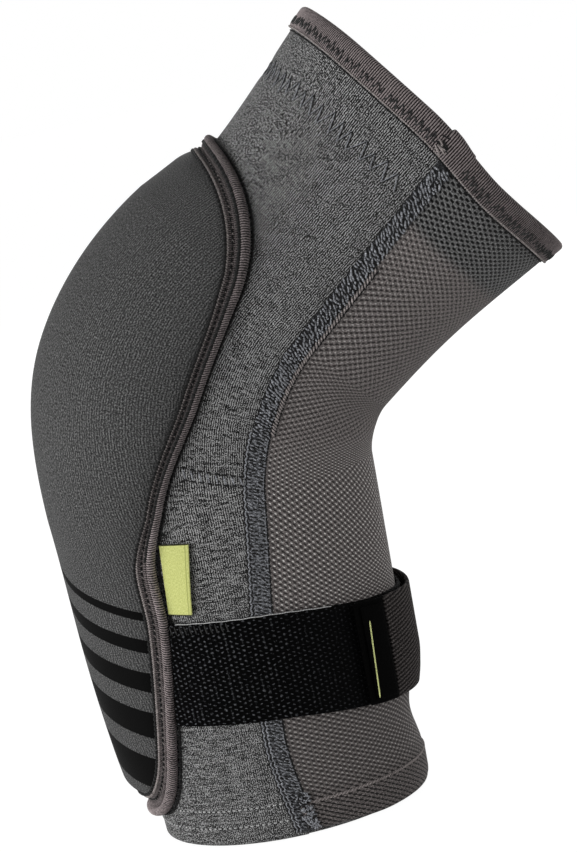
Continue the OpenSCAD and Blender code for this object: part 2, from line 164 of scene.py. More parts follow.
# Turns from which they show or fade, and the spread over which they do
STAND_TURN, STAND_SPREAD, FADE, FADE_TURN, FADE_SPREAD = 62, 35, 0.5, 130, 50
DIP, DIP_TURN, DIP_SPREAD = 0.2, 58, 18
SLIM_FRONT, SLIM_TURN, SLIM_SPREAD = 0.35, 60, 100
WAIST_TURN, WAIST_SPREAD = 80, 50


def settle(way, turn):
    """Steps along the sleeve and off it, in millimetres."""
    off = np.abs((turn + 180) % 360 - 180)
    share = ease((off - STAND_TURN) / STAND_SPREAD) - FADE * ease((off - FADE_TURN) / FADE_SPREAD)
    share = share - DIP * np.exp(-(((off - DIP_TURN) / DIP_SPREAD) ** 2))
    stand = CUFF_STAND * share * ease((way - CUFF_STAND_FROM) / (SLEEVE_LEN - CUFF_STAND_FROM))
    share = mix(SLIM_FRONT, 1, ease((off - SLIM_TURN) / SLIM_SPREAD))
    slim = SLIM * share * ease((way - SLIM_FROM) / SLIM_LEN)
    waist = WAIST * ease(1 - np.abs(way - WAIST_MID) / WAIST_HALF) * ease((WAIST_TURN - off) / WAIST_SPREAD)
    return stand, -slim - waist


def skin(way, turn, rise):
    """Points in metres."""
    way, turn, rise = np.broadcast_arrays(*(np.asarray(x, float) for x in (way, turn, rise)))
    step, drop = settle(way, turn)
    way, rise = way + step, rise + drop
    tilt, past = lean(way), np.maximum(0, way - FOREARM_LEN - BEND_LEN)
    bend = math.radians(BEND_ANGLE)
    x = BEND_RADIUS * (1 - np.cos(tilt)) + past * math.sin(bend)
    z = np.minimum(way, FOREARM_LEN) + BEND_RADIUS * np.sin(tilt) + past * math.cos(bend)
    angle = np.radians(turn)
    depth = (radius(way) + rise) * np.cos(angle)
    side = (radius(way) - SIDE_SQUEEZE + rise) * np.sin(angle)
    return np.stack([x + depth * np.cos(tilt), side, z - depth * np.sin(tilt)], -1) * MM


def outward(way, turn):
    way, turn = np.broadcast_arrays(np.asarray(way, float), np.asarray(turn, float))
    tilt, angle = lean(way), np.radians(turn)
    return np.stack([np.cos(angle) * np.cos(tilt), np.sin(angle), -np.cos(angle) * np.sin(tilt)], -1)


def as_turn(along, way):
    return np.degrees(along / radius(way))


seam_turn = curve(
    [0, SEAM_TURN_HEM],
    [STRAP_FRONT - STRAP_W / 2, SEAM_TURN_STRAP],
    [ELBOW_WAY, SEAM_TURN_ELBOW],
    [SLEEVE_LEN, SEAM_TURN_CUFF],
)


def cross_way(across):
    return mix(CROSS_FRONT, CROSS_BACK, 1 - np.abs(2 * across - 1))


def knit_turn(way, across):
    first = seam_turn(way) + as_turn(MOVE_GAP / 2, way)
    return -first - across * (360 - 2 * first)


# The pad's outline and crown


pad_w = curve(
    [PAD_TOE, PAD_TOE_W],
    [STRAP_FRONT - STRAP_W / 2, PAD_TOE_W],
    [STRAP_BACK + STRAP_W / 2, PAD_STRAP_W],
    [ELBOW_WAY - PAD_NECK_DROP, PAD_NECK_W],
    [ELBOW_WAY - PAD_ELBOW_DROP, PAD_ELBOW_W],
    [PAD_HEAD, PAD_ELBOW_W],
)


def oval(x):
    return (1 - np.minimum(1, np.abs(x)) ** OVAL_POWER) ** (1 / OVAL_POWER)


def pad_side(way, inset):
    return (pad_w(way) - inset) * oval((way - PAD_MID) / (PAD_HALF_LEN - inset))


def pad_way(x, inset):
    return PAD_MID - (PAD_HALF_LEN - inset) * np.cos(np.pi * np.asarray(x, float))


def pad_turn(way, along):
    return 180 - as_turn(along, way)


# How wide the pad's edging lies, as a share of its full width: full at both ends, drawn in beside the elbow
EDGING_STRAP, EDGING_ELBOW = 0.92, 0.66
EDGING_TOE, EDGING_TOE_LEN = PAD_TOE + 22, 12
EDGING_NECK, EDGING_NECK_LEN = 88, 20
EDGING_HEAD, EDGING_FULL = 148, PAD_HEAD - 9


def edging(way):
    toe = (1 - EDGING_STRAP) * ease((EDGING_TOE - way) / EDGING_TOE_LEN)
    neck = (EDGING_STRAP - EDGING_ELBOW) * ease((way - EDGING_NECK) / EDGING_NECK_LEN)
    head = (1 - EDGING_ELBOW) * ease((way - EDGING_HEAD) / (EDGING_FULL - EDGING_HEAD))
    return EDGING_STRAP + toe - neck + head


def edged_side(way, inset):
    return pad_side(way, inset * edging(way))


def swell(x):
    return 1 - (1 - clamp01(x)) ** CROWN_POWER


pad_crown = curve(
    [PAD_TOE, PAD_TOE_H],
    [STRAP_BACK, PAD_FOREARM_H],
    [PAD_PEAK - (PAD_HEAD - PAD_PEAK) / 2, PAD_FOREARM_H],
    [PAD_PEAK, PAD_ELBOW_H],
    [PAD_HEAD, PAD_HEAD_H],
)


def pad_rise(way, along):
    from_side = edged_side(way, TAPE_INSET) - np.abs(along)
    from_end = np.minimum(way - PAD_TOE, PAD_HEAD - way) - TAPE_INSET
    share = swell(from_side / PAD_SIDE_ROUND) * swell(from_end / PAD_END_ROUND)
    return EDGE_RISE + (pad_crown(way) - EDGE_RISE) * share


def piping_turn(way):
    return 180 - as_turn(pad_side(way, 0) + MOVE_GAP, way)


# The strap

ANCHOR_TURN = piping_turn(STRAP_BACK)
SEAM_FLANK = seam_turn(STRAP_FRONT)
CLIMB_FROM, CLIMB_TURN = 45, 25
TAB_END_TURN = -TAB_TURN - as_turn(TAB_LEN, STRAP_FRONT)


# The strap hangs a little lower in the crook
HANG, HANG_FROM, HANG_TURN = 2.4, 85, 50


def strap_mid(turn):
    middle = mix(STRAP_FRONT, STRAP_BACK, clamp01(np.abs(turn) / ANCHOR_TURN))
    return middle - HANG * ease((HANG_FROM - np.abs(turn)) / HANG_TURN)


def anchor_edge(u):
    return piping_turn(STRAP_BACK + STRAP_W * (u - 0.5))


def loop_rise(turn):
    return mix(LAYER1, OVER_SEAM, ease((-turn - SEAM_FLANK + CLIMB_FROM) / CLIMB_TURN))


def tab_rise(turn):
    return loop_rise(turn) + STRAP_T + MOVE_GAP + HOOK_T + LAYER_GAP


SLACK_RISE = STRAP_SLACK + FABRIC_T
elastic_rise = curve(
    [-TAB_TURN, tab_rise(-TAB_TURN)],
    [0, SLACK_RISE],
    [LOOP_END_TURN, SLACK_RISE],
    [SEAM_FLANK, OVER_SEAM + MOVE_GAP],
    [ANCHOR_TURN, FABRIC_T + MOVE_GAP],
)


# Threads are six-sided tubes whose ends have a share of their thickness. Each takes its pattern from a place
# of its own
THREAD_SIDES, THREAD_TIP, THREAD_SHIFT = 6, 0.35, 1.7


class Shape:
    """The points, faces and cloth coordinates of one piece, gathered part by part.
    Cloth coordinates are millimetres across and along the cloth, for the finishes' patterns."""

    def __init__(self):
        self.points, self.faces, self.cloth, self.slots = [], [], [], []
        self.count = 0

    def add(self, points, faces, cloth, slot=0):
        self.points.append(np.asarray(points, float).reshape(-1, 3))
        self.cloth.append(np.asarray(cloth, float).reshape(-1, 2))
        self.faces.append(np.asarray(faces, int).reshape(-1, 4) + self.count)
        self.slots.append(np.broadcast_to(slot, len(self.faces[-1])))
        self.count += len(self.points[-1])

    def slab(self, top, bottom, cloth, slot=0):
        """A closed sheet between two grids of points."""
        rows, cols = top.shape[:2]
        index = np.arange(rows * cols).reshape(rows, cols)
        face = quads(index)
        rim = np.concatenate([index[0, :-1], index[:-1, -1], index[-1, :0:-1], index[:0:-1, 0]])
        following = np.roll(rim, -1)
        under = rows * cols
        wall = np.stack([rim, rim + under, following + under, following], -1)
        self.add(
            np.concatenate([top.reshape(-1, 3), bottom.reshape(-1, 3)]),
            np.concatenate([face, face[:, ::-1] + under, wall]),
            np.concatenate([cloth.reshape(-1, 2)] * 2),
            slot,
        )

    def ring(self, sections, cloth, slot=0):
        """A closed loop of closed sections."""
        rows, cols = sections.shape[:2]
        index = np.arange(rows * cols).reshape(rows, cols)
        index = np.concatenate([index, index[:1]])
        index = np.concatenate([index, index[:, :1]], 1)
        self.add(sections, quads(index), cloth, slot)

    def tubes(self, paths, ups, thick, slot=0):
        """Threads with rounded ends, one along each path of points, up being off the cloth."""
        paths, ups = np.asarray(paths, float), np.asarray(ups, float)
        count, steps, sides = *paths.shape[:2], THREAD_SIDES
        ahead = np.gradient(paths, axis=1)
        side = unit(np.cross(ahead, ups))
        up = unit(np.cross(side, ahead))
        end = np.ones(steps)
        end[[0, -1]] = THREAD_TIP
        angle = np.arange(sides) * 2 * np.pi / sides
        spoke = np.cos(angle)[:, None] * side[:, :, None] + np.sin(angle)[:, None] * up[:, :, None]
        rings = paths[:, :, None] + spoke * (thick / 2 * MM * end)[None, :, None, None]
        index = np.arange(count * steps * sides).reshape(count, steps, sides)
        around = np.concatenate([index, index[:, :, :1]], 2)
        walls = np.concatenate([quads(tube) for tube in around])
        caps = [index[:, tip][:, half] for half in ([0, 1, 2, 3], [3, 4, 5, 0]) for tip in (0, -1)]
        length = np.linalg.norm(np.diff(paths, axis=1), axis=2).cumsum(1) / MM
        length = np.concatenate([np.zeros((count, 1)), length], 1)
        own = pairs(np.arange(count)[:, None] * THREAD_SHIFT, length)
        cloth = np.broadcast_to(own[:, :, None], (count, steps, sides, 2))
        self.add(rings, np.concatenate([walls, *caps]), cloth, slot)

    def make(self, name, *materials):
        mesh = bpy.data.meshes.new(name)
        points, faces = np.concatenate(self.points), np.concatenate(self.faces)
        mesh.from_pydata(points.tolist(), [], faces.tolist())
        for material in materials:
            mesh.materials.append(material)
        mesh.polygons.foreach_set("material_index", np.concatenate(self.slots).astype(np.int32))
        add_map(mesh, "cloth", np.concatenate(self.cloth))
        body = bmesh.new()
        body.from_mesh(mesh)
        bmesh.ops.recalc_face_normals(body, faces=body.faces)
        body.to_mesh(mesh)
        body.free()
        mesh.shade_smooth()
        thing = bpy.data.objects.new(name, mesh)
        bpy.context.scene.collection.objects.link(thing)
        return thing


def add_map(mesh, name, places):
    """Pattern coordinates, two for each point of a mesh."""
    corner = np.empty(len(mesh.loops), np.int32)
    mesh.loops.foreach_get("vertex_index", corner)
    mesh.uv_layers.new(name=name).uv.foreach_set("vector", places[corner].astype(np.float32).ravel())


def quads(index):
    """The four-sided faces of a grid of point numbers."""
    corners = [index[:-1, :-1], index[:-1, 1:], index[1:, 1:], index[1:, :-1]]
    return np.stack(corners, -1).reshape(-1, 4)


def unit(v):
    return v / np.maximum(np.linalg.norm(v, axis=-1, keepdims=True), 1e-12)


def grid(rows, cols):
    """Two arrays from 0 to 1, up the rows and along the columns."""
    return np.meshgrid(np.linspace(0, 1, rows), np.linspace(0, 1, cols), indexing="ij")


def rounded(distance, size):
    """How far a slab's edge is open at a distance from its rim: 0 at the rim, 1 past the round."""
    return np.sqrt(1 - (1 - clamp01(distance / size)) ** 2)


def cloth_at(way, turn, size=PATTERN_RADIUS):
    """Cloth coordinates of a place on the sleeve."""
    return pairs(np.radians(turn) * size, way)


def threads(shape, way, turn, rise, thick, slot=0):
    """Threads on the sleeve: each row of way, turn and rise is one thread."""
    way, turn, rise = np.broadcast_arrays(way, turn, rise)
    shape.tubes(skin(way, turn, rise), outward(way, turn), thick, slot)


class Nodes:
    """A node tree, with short calls that add to it."""

    def __init__(self, owner):
        owner.use_nodes = True
        self.tree = owner.node_tree

    def add(self, kind, inputs=(), **settings):
        node = self.tree.nodes.new("ShaderNode" + kind)
        for key, value in settings.items():
            setattr(node, key, value)
        for key, value in dict(inputs).items():
            self.feed(node.inputs[key], value)
        return node

    def feed(self, socket, value):
        if isinstance(value, bpy.types.NodeSocket):
            self.tree.links.new(value, socket)
        else:
            socket.default_value = value

    def math(self, operation, *values):
        return self.add("Math", dict(enumerate(values)), operation=operation).outputs[0]

    def times(self, value, factor):
        return self.math("MULTIPLY", value, factor)

    def minus(self, value, less):
        return self.math("SUBTRACT", value, less)

    def scaled(self, value, factor, plus):
        """A value times a factor, plus another value."""
        return self.math("MULTIPLY_ADD", value, factor, plus)


class Finish(Nodes):
    """A material, with short calls for the nodes that the finishes share."""

    def __init__(self, name, values):
        self.material = bpy.data.materials.new(name)
        super().__init__(self.material)
        self.shader = self.tree.nodes["Principled BSDF"]
        for socket, value in values.items():
            self.shader.inputs[socket].default_value = value

    def place(self, map_name="cloth"):
        """Millimetres across and along the cloth."""
        where = self.add("UVMap", uv_map=map_name).outputs[0]
        parts = self.add("SeparateXYZ", {0: where})
        return parts.outputs[0], parts.outputs[1]

    def noise(self, x, y, wide, long, detail=2.0):
        """Noise about 0.5, with marks of a size in millimetres."""
        across, along = self.math("DIVIDE", x, wide), self.math("DIVIDE", y, long)
        at = self.add("CombineXYZ", {0: across, 1: along}).outputs[0]
        inputs = {"Vector": at, "Scale": 1.0, "Detail": detail, "Roughness": 0.6}
        return self.add("TexNoise", inputs, noise_dimensions="2D").outputs[0]

    def wave(self, place, pitch):
        """A wave from -1 to 1 with a pitch in millimetres."""
        return self.math("COSINE", self.times(place, 2 * math.pi / pitch))

    def between(self, value, low, high, to_low=0.0, to_high=1.0):
        inputs = {0: value, 1: low, 2: high, 3: to_low, 4: to_high}
        return self.add("MapRange", inputs, interpolation_type="SMOOTHSTEP").outputs[0]

    def blend(self, share, first, second):
        return self.add("Mix", {0: share, 6: first, 7: second}, data_type="RGBA").outputs[2]

    def ramp(self, value, *stops, kind="LINEAR"):
        node = self.add("ValToRGB", {0: value})
        node.color_ramp.interpolation = kind
        node.color_ramp.elements.remove(node.color_ramp.elements[0])
        for i, (place, colour) in enumerate(stops):
            stop = node.color_ramp.elements[0] if i == 0 else node.color_ramp.elements.new(place)
            stop.position, stop.color = place, colour
        return node.outputs[0]

    def greys(self, value, *stops, tint=(1.0, 1.0), kind="LINEAR"):
        """A ramp of greys with a tint, from places and levels."""
        return self.ramp(value, *((place, grey(level, *tint)) for place, level in stops), kind=kind)

    def done(self, colour, height, depth, strength):
        """The material, with its colour and with bumps of a depth in millimetres."""
        self.feed(self.shader.inputs["Base Color"], colour)
        inputs = {"Height": height, "Strength": strength, "Distance": depth * MM}
        self.feed(self.shader.inputs["Normal"], self.add("Bump", inputs).outputs[0])
        return self.material


def grey(level, red=1.0, blue=1.0):
    """A grey in linear light, with a little more or less red and blue."""
    return (level * red, level, level * blue, 1)


BROWN, TAUPE, SLATE = (1.12, 0.97), (1.17, 1.0), (0.97, 1.08)
CLOTH = {"Roughness": 0.9, "Sheen Weight": 0.08, "Sheen Roughness": 0.5, "Specular IOR Level": 0.15}
BLACK_CLOTH = {"Roughness": 0.95, "Specular IOR Level": 0.04}
COVER_CLOTH = {"Roughness": 0.9, "Sheen Weight": 0.05, "Sheen Roughness": 0.35, "Specular IOR Level": 0.08}
WALE = 0.66


def knit_finish():
    """Heather jersey: light and dark fibres, in columns of loops that show most towards the cuff."""
    f = Finish("heather_knit", CLOTH)
    x, y = f.place()
    wales = f.wave(f.scaled(f.noise(x, y, 1.2, 1.8, 1.0), 0.5, x), WALE)
    clouds = f.between(f.noise(x, y, 9.0, 5.0, 2.0), 0.35, 0.65, 0.5, 1.0)
    shown = f.minus(f.between(y, 60.0, 125.0, 0.18, 0.42), f.between(y, 160.0, 185.0, 0.0, 0.02))
    back = f.between(f.math("ABSOLUTE", f.math("ADD", x, 145.0)), 65.0, 25.0)
    fine, coarse = f.noise(x, y, 0.34, 0.36, 1.0), f.noise(x, y, 0.8, 0.38, 1.0)
    fibres = f.add("Mix", {0: back, 2: fine, 3: coarse}).outputs[0]
    fibres = f.scaled(f.minus(fibres, 0.5), 2.1, 0.5)
    streaks = f.minus(f.noise(x, y, 4.2, 0.8, 2.0), 0.5)
    streaked = f.minus(f.between(y, 60.0, 85.0, 0.7, 1.1), f.between(y, 140.0, 175.0, 0.0, 0.6))
    tone = f.scaled(wales, f.times(clouds, shown), fibres)
    tone = f.scaled(streaks, streaked, tone)
    # Painted shade: the knit is darker towards the cuff
    tone = f.minus(tone, f.between(y, 150.0, 185.0, 0.0, 0.032))
    colour = f.greys(tone, (0.26, 0.001), (0.38, 0.007), (0.5, 0.042), (0.62, 0.158), (0.74, 0.38))
    return f.done(colour, tone, 0.3, 0.5)


MESH_PITCH_ACROSS, MESH_PITCH_UP = 3.0, 1.75
MESH_DARK_FROM = SLEEVE_LEN - BINDING_W - GRIPPER_W - 4
MESH_FOLD = 10


def mesh_finish():
    """Stretch mesh with staggered gaps and bright knots as painted highlight, painted darker as shade towards
    the hem, and dark where the grip band or the hem backs it.
    """
    f = Finish("stretch_mesh", CLOTH)
    x, y = f.place()
    flat_x, flat_y = f.place("cut")
    grain = f.noise(flat_x, flat_y, 0.6, 0.4)
    slope = MESH_PITCH_ACROSS / MESH_PITCH_UP
    rising = f.wave(f.scaled(flat_y, slope, flat_x), MESH_PITCH_ACROSS)
    falling = f.wave(f.scaled(flat_y, -slope, flat_x), MESH_PITCH_ACROSS)
    drawn = f.minus(f.between(y, 100.0, 140.0, 0.3, 0.72), f.between(y, 185.0, 205.0, 0.0, 0.22))
    weave = f.add("Mix", {0: drawn, 2: rising, 3: falling}).outputs[0]
    # How strongly the knots' painted highlights show, by region
    beside_seam = f.between(f.math("ABSOLUTE", x), 25.0, 52.0, 0.12, 0.4)
    bright = f.times(f.between(y, 142.0, 108.0), f.between(y, 30.0, 65.0, 0.5, 0.95))
    bright = f.math("MAXIMUM", bright, beside_seam)
    knots = f.times(f.between(weave, 0.58, 0.92), f.between(grain, 0.25, 0.5))
    gaps = f.between(weave, -0.25, -0.7, 0.0, 0.92)
    # Painted shade: the yarn is darker towards the hem
    low = f.between(y, 60.0, 35.0)
    yarn = f.greys(grain, (0.3, 0.056), (0.5, 0.132), (0.7, 0.26), tint=BROWN)
    yarn = f.blend(f.times(low, 0.35), yarn, grey(0.045, *BROWN))
    pale = f.blend(gaps, yarn, grey(0.014, *BROWN))
    # The knots' near white is painted highlight
    pale = f.blend(f.times(knots, bright), pale, grey(0.8, 1.03, 0.97))
    web = f.greys(grain, (0.3, 0.045), (0.5, 0.125), (0.7, 0.3))
    dark = f.blend(f.between(weave, 0.05, -0.3), web, grey(0.003))
    folded = f.greys(grain, (0.3, 0.03), (0.5, 0.11), (0.7, 0.28), tint=BROWN)
    folded = f.blend(f.between(weave, -0.1, -0.5), folded, grey(0.01, *BROWN))
    colour = f.blend(f.between(y, MESH_FOLD + 6, MESH_FOLD - 1), pale, folded)
    colour = f.blend(f.between(y, MESH_DARK_FROM, MESH_DARK_FROM + 5), colour, dark)
    height = f.math("ADD", grain, f.math("ABSOLUTE", weave))
    return f.done(colour, height, 0.35, 0.6)


def thread_finish(name, colour, spread=1.7):
    """Twisted thread in a colour, with painted shade between its strands and painted highlight on them."""
    f = Finish(name, CLOTH)
    x, y = f.place()
    twist = f.wave(f.scaled(x, 0.37, y), 0.5)
    fibre = f.noise(x, y, 0.8, 0.25)
    tone = f.scaled(twist, 0.12, fibre)
    dim, bright = (tuple(c * level for c in colour[:3]) + (1,) for level in (0.4, spread))
    return f.done(f.ramp(tone, (0.25, dim), (0.5, colour), (0.75, bright)), tone, 0.12, 0.5)


def bed_finish():
    """The strip under the flatlock's stitches: dark, but greyer between the strap and the cross seam."""
    f = Finish("seam_bed", CLOTH)
    x, y = f.place()
    fibre = f.noise(x, y, 0.5, 0.5)
    dark = f.greys(fibre, (0.3, 0.006), (0.5, 0.025), (0.7, 0.08), tint=SLATE)
    soft = f.greys(fibre, (0.3, 0.012), (0.5, 0.08), (0.7, 0.25), tint=SLATE)
    share = f.times(f.between(y, 130.0, 112.0), f.between(y, 25.0, 60.0, 0.4, 1.0))
    return f.done(f.blend(share, dark, soft), fibre, 0.2, 0.5)


# Ribs round the cuff
RIB_COUNT, RIB_H = 430, 0.13
# Ribs round the piping
PIPE_RIBS, PIPE_RIB_H, PIPE_SLANT, PIPE_STEPS = 700, 0.12, 1.2, 3200
# Cosines of the places round the piping between which its colour darkens, from the toe up: painted shade on
# its upper half
SHADED_UPPER_HALF = (0.3, -0.1)


def trim_finish(name, level, rib, count=0, dark=(), shade=1.0):
    """Ribbed elastic tape: a rib for every unit across, with painted highlight on the ribs and painted shade
    between them. Part of a ring of ribs may be painted darker as shade, where the cosine of the place round
    it is in a range."""
    f = Finish(name, CLOTH)
    x, y = f.place()
    ribs = f.wave(x, 1.0)
    fibre = f.noise(x, y, 0.7, 0.5, 2.0)
    worn = f.noise(x, y, 6.0, 3.0, 1.0)
    tone = f.scaled(f.minus(worn, 0.5), 0.3, f.scaled(ribs, rib, fibre))
    # The wide spread of greys across each rib is painted highlight on the ribs and painted shade between them
    colour = f.greys(tone, (0.26, 0.1 * level), (0.5, level), (0.78, 3.4 * level), tint=TAUPE)
    # A darker copy of the colour, painted shade on part of the ring
    if count:
        low = level * shade
        darker = f.greys(tone, (0.2, 0.1 * low), (0.5, low), (0.85, 3.4 * low), tint=TAUPE)
        colour = f.blend(f.between(f.wave(x, count), *dark), colour, darker)
    return f.done(colour, fibre, 0.2, 0.5)


# Black chevrons on the pad's lower end: from and to, up the pad, where they cross its middle
CHEVRONS = ((10, 22), (29, 42), (50, 60), (67.5, 74.5), (81.5, 86), (92.5, 95.5))
CHEVRON_SLOPE = 0.5
CHEVRON_SPAN = 120
COVER_WALE = 0.7


def cover_finish():
    """Fine charcoal knit with plain black chevrons at its lower end."""
    f = Finish("pad_cover_knit", COVER_CLOTH)
    x, y = f.place()
    wales = f.wave(f.scaled(f.noise(x, y, 1.4, 2.0, 1.0), 0.7, x), COVER_WALE)
    fibre = f.noise(x, y, 0.36, 0.36, 2.0)
    tone = f.scaled(wales, 0.09, fibre)
    knit = f.greys(tone, (0.25, 0.01), (0.5, 0.055), (0.75, 0.195))
    level = f.scaled(f.math("ABSOLUTE", x), CHEVRON_SLOPE, y)
    stops = [(0.0, 0.0)]
    for low, high in CHEVRONS:
        stops += [(low / CHEVRON_SPAN, 1.0), (high / CHEVRON_SPAN, 0.0)]
    black = f.greys(f.math("DIVIDE", level, CHEVRON_SPAN), *stops, kind="CONSTANT")
    return f.done(f.blend(black, knit, grey(0.001)), tone, 0.15, 0.4)


LOOP_PITCH, LOOP_ROW = 2.94, 1.6


def velour_finish():
    """Black brushed loop, with painted highlights: uneven columns of bright dots and faint sheen lines on the
    loops, fading towards the front.
    """
    f = Finish("loop_velour", BLACK_CLOTH)
    x, y = f.place()
    sway = f.minus(f.noise(x, y, 2.2, 2.2, 1.0), 0.5)
    aside = f.scaled(sway, 0.3, x)
    aloft = f.scaled(f.minus(f.noise(y, x, 1.6, 1.6, 1.0), 0.5), 1.1, y)
    loops = f.times(f.wave(aside, LOOP_PITCH), f.wave(aloft, LOOP_ROW))
    fuzz = f.noise(x, y, 0.5, 0.6)
    glints = f.times(f.between(loops, 0.42, 0.98), f.between(fuzz, 0.3, 0.6))
    drawn = f.between(f.noise(x, y, 1.2, 7.0), 0.5, 0.75)
    sheen_lines = f.times(f.between(f.wave(aside, LOOP_PITCH / 2), 0.5, 1.0), drawn)
    sheen_lines = f.times(f.times(sheen_lines, 0.35), f.between(fuzz, 0.35, 0.6))
    glints = f.times(f.math("MAXIMUM", glints, sheen_lines), f.between(x, -30.0, -80.0, 0.1, 1.0))
    # The grey is the colour of the painted highlights on the black loops
    colour = f.blend(glints, grey(0.0007, *SLATE), grey(0.115, *SLATE))
    return f.done(colour, f.math("ADD", loops, fuzz), 0.4, 0.6)


def elastic_finish():
    """Black elastic with a diagonal twill of fuzzy lines."""
    f = Finish("twill_elastic", BLACK_CLOTH)
    x, y = f.place()
    rib = f.wave(f.scaled(x, -0.2, y), 1.25)
    fibre = f.noise(x, y, 0.6, 0.45)
    tone = f.scaled(rib, 0.16, fibre)
    colour = f.greys(tone, (0.3, 0.004), (0.52, 0.022), (0.74, 0.1), tint=BROWN)
    return f.done(colour, tone, 0.35, 0.7)


LIME_SHADE, LIME, LIME_LIGHT = (0.43, 0.46, 0.13, 1), (0.58, 0.61, 0.21, 1), (0.7, 0.72, 0.32, 1)


def label_finish():
    """Yellow-green woven ribbon with a pressed fold line by its edge and dark cut ends."""
    f = Finish("label_ribbon", CLOTH)
    x, y = f.place()
    weave = f.times(f.wave(x, 0.5), f.wave(y, 0.5))
    fibre = f.noise(x, y, 0.3, 0.6)
    tone = f.scaled(weave, 0.06, fibre)
    green = f.ramp(tone, (0.25, LIME_SHADE), (0.5, LIME), (0.8, LIME_LIGHT))
    fold = f.between(f.math("ABSOLUTE", f.minus(x, LABEL_W - 1.1)), 0.28, 0.1)
    ends = f.between(f.math("MINIMUM", y, f.minus(LABEL_LEN, y)), 0.45, 0.15)
    colour = f.blend(f.times(fold, 0.55), green, (0.2, 0.22, 0.04, 1))
    return f.done(f.blend(ends, colour, (0.03, 0.032, 0.012, 1)), tone, 0.12, 0.4)


def patch_finish():
    """Smooth black woven patch."""
    f = Finish("tab_patch", {"Roughness": 0.9, "Specular IOR Level": 0.02})
    x, y = f.place()
    weave = f.times(f.wave(x, 0.45), f.wave(y, 0.45))
    fibre = f.noise(x, y, 0.3, 0.8)
    colour = f.greys(fibre, (0.3, 0.0005), (0.6, 0.0015), (0.8, 0.004))
    return f.done(colour, weave, 0.1, 0.4)


def moulded_finish(name, level, rough):
    f = Finish(name, {"Roughness": rough, "Specular IOR Level": 0.4})
    x, y = f.place()
    grain = f.noise(x, y, 0.6, 0.6, 3.0)
    colour = f.greys(grain, (0.3, level * 0.8), (0.7, level * 1.25))
    return f.done(colour, grain, 0.1, 0.3)


def foam_finish():
    f = Finish("open_foam", {"Roughness": 0.95, "Specular IOR Level": 0.1})
    x, y = f.place()
    cells = f.noise(x, y, 0.8, 0.8, 4.0)
    colour = f.ramp(cells, (0.3, (0.4, 0.32, 0.12, 1)), (0.6, (0.62, 0.52, 0.22, 1)))
    return f.done(colour, cells, 0.4, 0.8)


KNIT, MESH, COVER = knit_finish(), mesh_finish(), cover_finish()
# The piping's trims are painted darker as shade on their upper half, and the inner ridge's trim is a darker
# copy, painted shade
TRIM = trim_finish("ribbed_trim", 0.098, 0.34, PIPE_RIBS, SHADED_UPPER_HALF, 0.55)
SHADED_RIDGE_TRIM = trim_finish("shaded_ridge_trim", 0.05, 0.3, PIPE_RIBS, SHADED_UPPER_HALF, 0.55)
# A darker copy of the trim for the flat tape, painted shade
SHADED_TAPE_TRIM = trim_finish("shaded_tape_trim", 0.05, 0.3)
# The cuff's trim is painted darker as shade on the crook side
CUFF_TRIM = trim_finish("cuff_trim", 0.072, 0.46, RIB_COUNT, (-0.1, 0.4), 0.75)
SEAM = thread_finish("seam_thread", grey(0.22, *SLATE), 2.2)
SOFT_SEAM, SEAM_BED = thread_finish("soft_seam_thread", grey(0.2, *SLATE), 2.2), bed_finish()
DARK_THREAD = thread_finish("dark_thread", grey(0.01))
CHAIN_THREAD = thread_finish("chain_thread", grey(0.24, *BROWN))
# A darker copy of the chain thread, painted shade on the upper part round the pad
SHADED_CHAIN_THREAD = thread_finish("shaded_chain_thread", grey(0.16, *BROWN))
TICK_THREAD = thread_finish("tick_thread", grey(0.03))
PALE_THREAD = thread_finish("pale_thread", grey(0.45))
LIME_THREAD = thread_finish("lime_thread", (0.8, 0.85, 0.36, 1), 1.1)
VELOUR, ELASTIC, LABEL, PATCH = velour_finish(), elastic_finish(), label_finish(), patch_finish()
HOOK = moulded_finish("hook_plastic", 0.012, 0.45)
SILICONE = moulded_finish("grip_silicone", 0.035, 0.5)
FOAM = foam_finish()


# Cloth panels


# The rounded fold under the hem
FOLD_LEN = FABRIC_T * math.pi / 2
FOLD_SHIFT = FOLD_LEN - FABRIC_T
FOLD_ROWS, FOLD_TIP = 6, 0.3


def hem_fold(length):
    """Way and rise of a place on the outer face, measured from the fold under the hem."""
    angle = np.minimum(length, FOLD_LEN) / FABRIC_T
    way = np.where(length < FOLD_LEN, FABRIC_T * (1 - np.cos(angle)), length - FOLD_SHIFT)
    return way, FABRIC_T * np.sin(angle)


def hem_rows(top, rows):
    """Lengths up from the fold, close together round it; top may change along the hem."""
    low = np.linspace(0, FOLD_LEN, FOLD_ROWS)[:-1, None] + 0 * top
    high = mix(FOLD_LEN, top + FOLD_SHIFT, np.linspace(0, 1, rows)[:, None])
    return np.concatenate([low, high])


def panel(name, way, rise, turn, material, size=PATTERN_RADIUS):
    shape = Shape()
    inner = np.where(way < FABRIC_T, np.maximum(way, FOLD_TIP), way)
    shape.slab(skin(way, turn, rise), skin(inner, turn, 0), cloth_at(way, turn, size))
    return shape.make(name, material)


# The stitched edge of the grip band draws the knit in a little
GRIP_ROW, GRIP_DENT, GRIP_DENT_HALF = SLEEVE_LEN - 20.5, 0.5, 2.8


def grip_dent(way):
    return GRIP_DENT * np.exp(-(((way - GRIP_ROW) / GRIP_DENT_HALF) ** 2))


def lower_knit():
    across = even_steps(150)
    way, rise = hem_fold(hem_rows(cross_way(across) - MOVE_GAP / 2, 90))
    return panel("lower_knit_cloth", way, rise, knit_turn(way, across), KNIT)


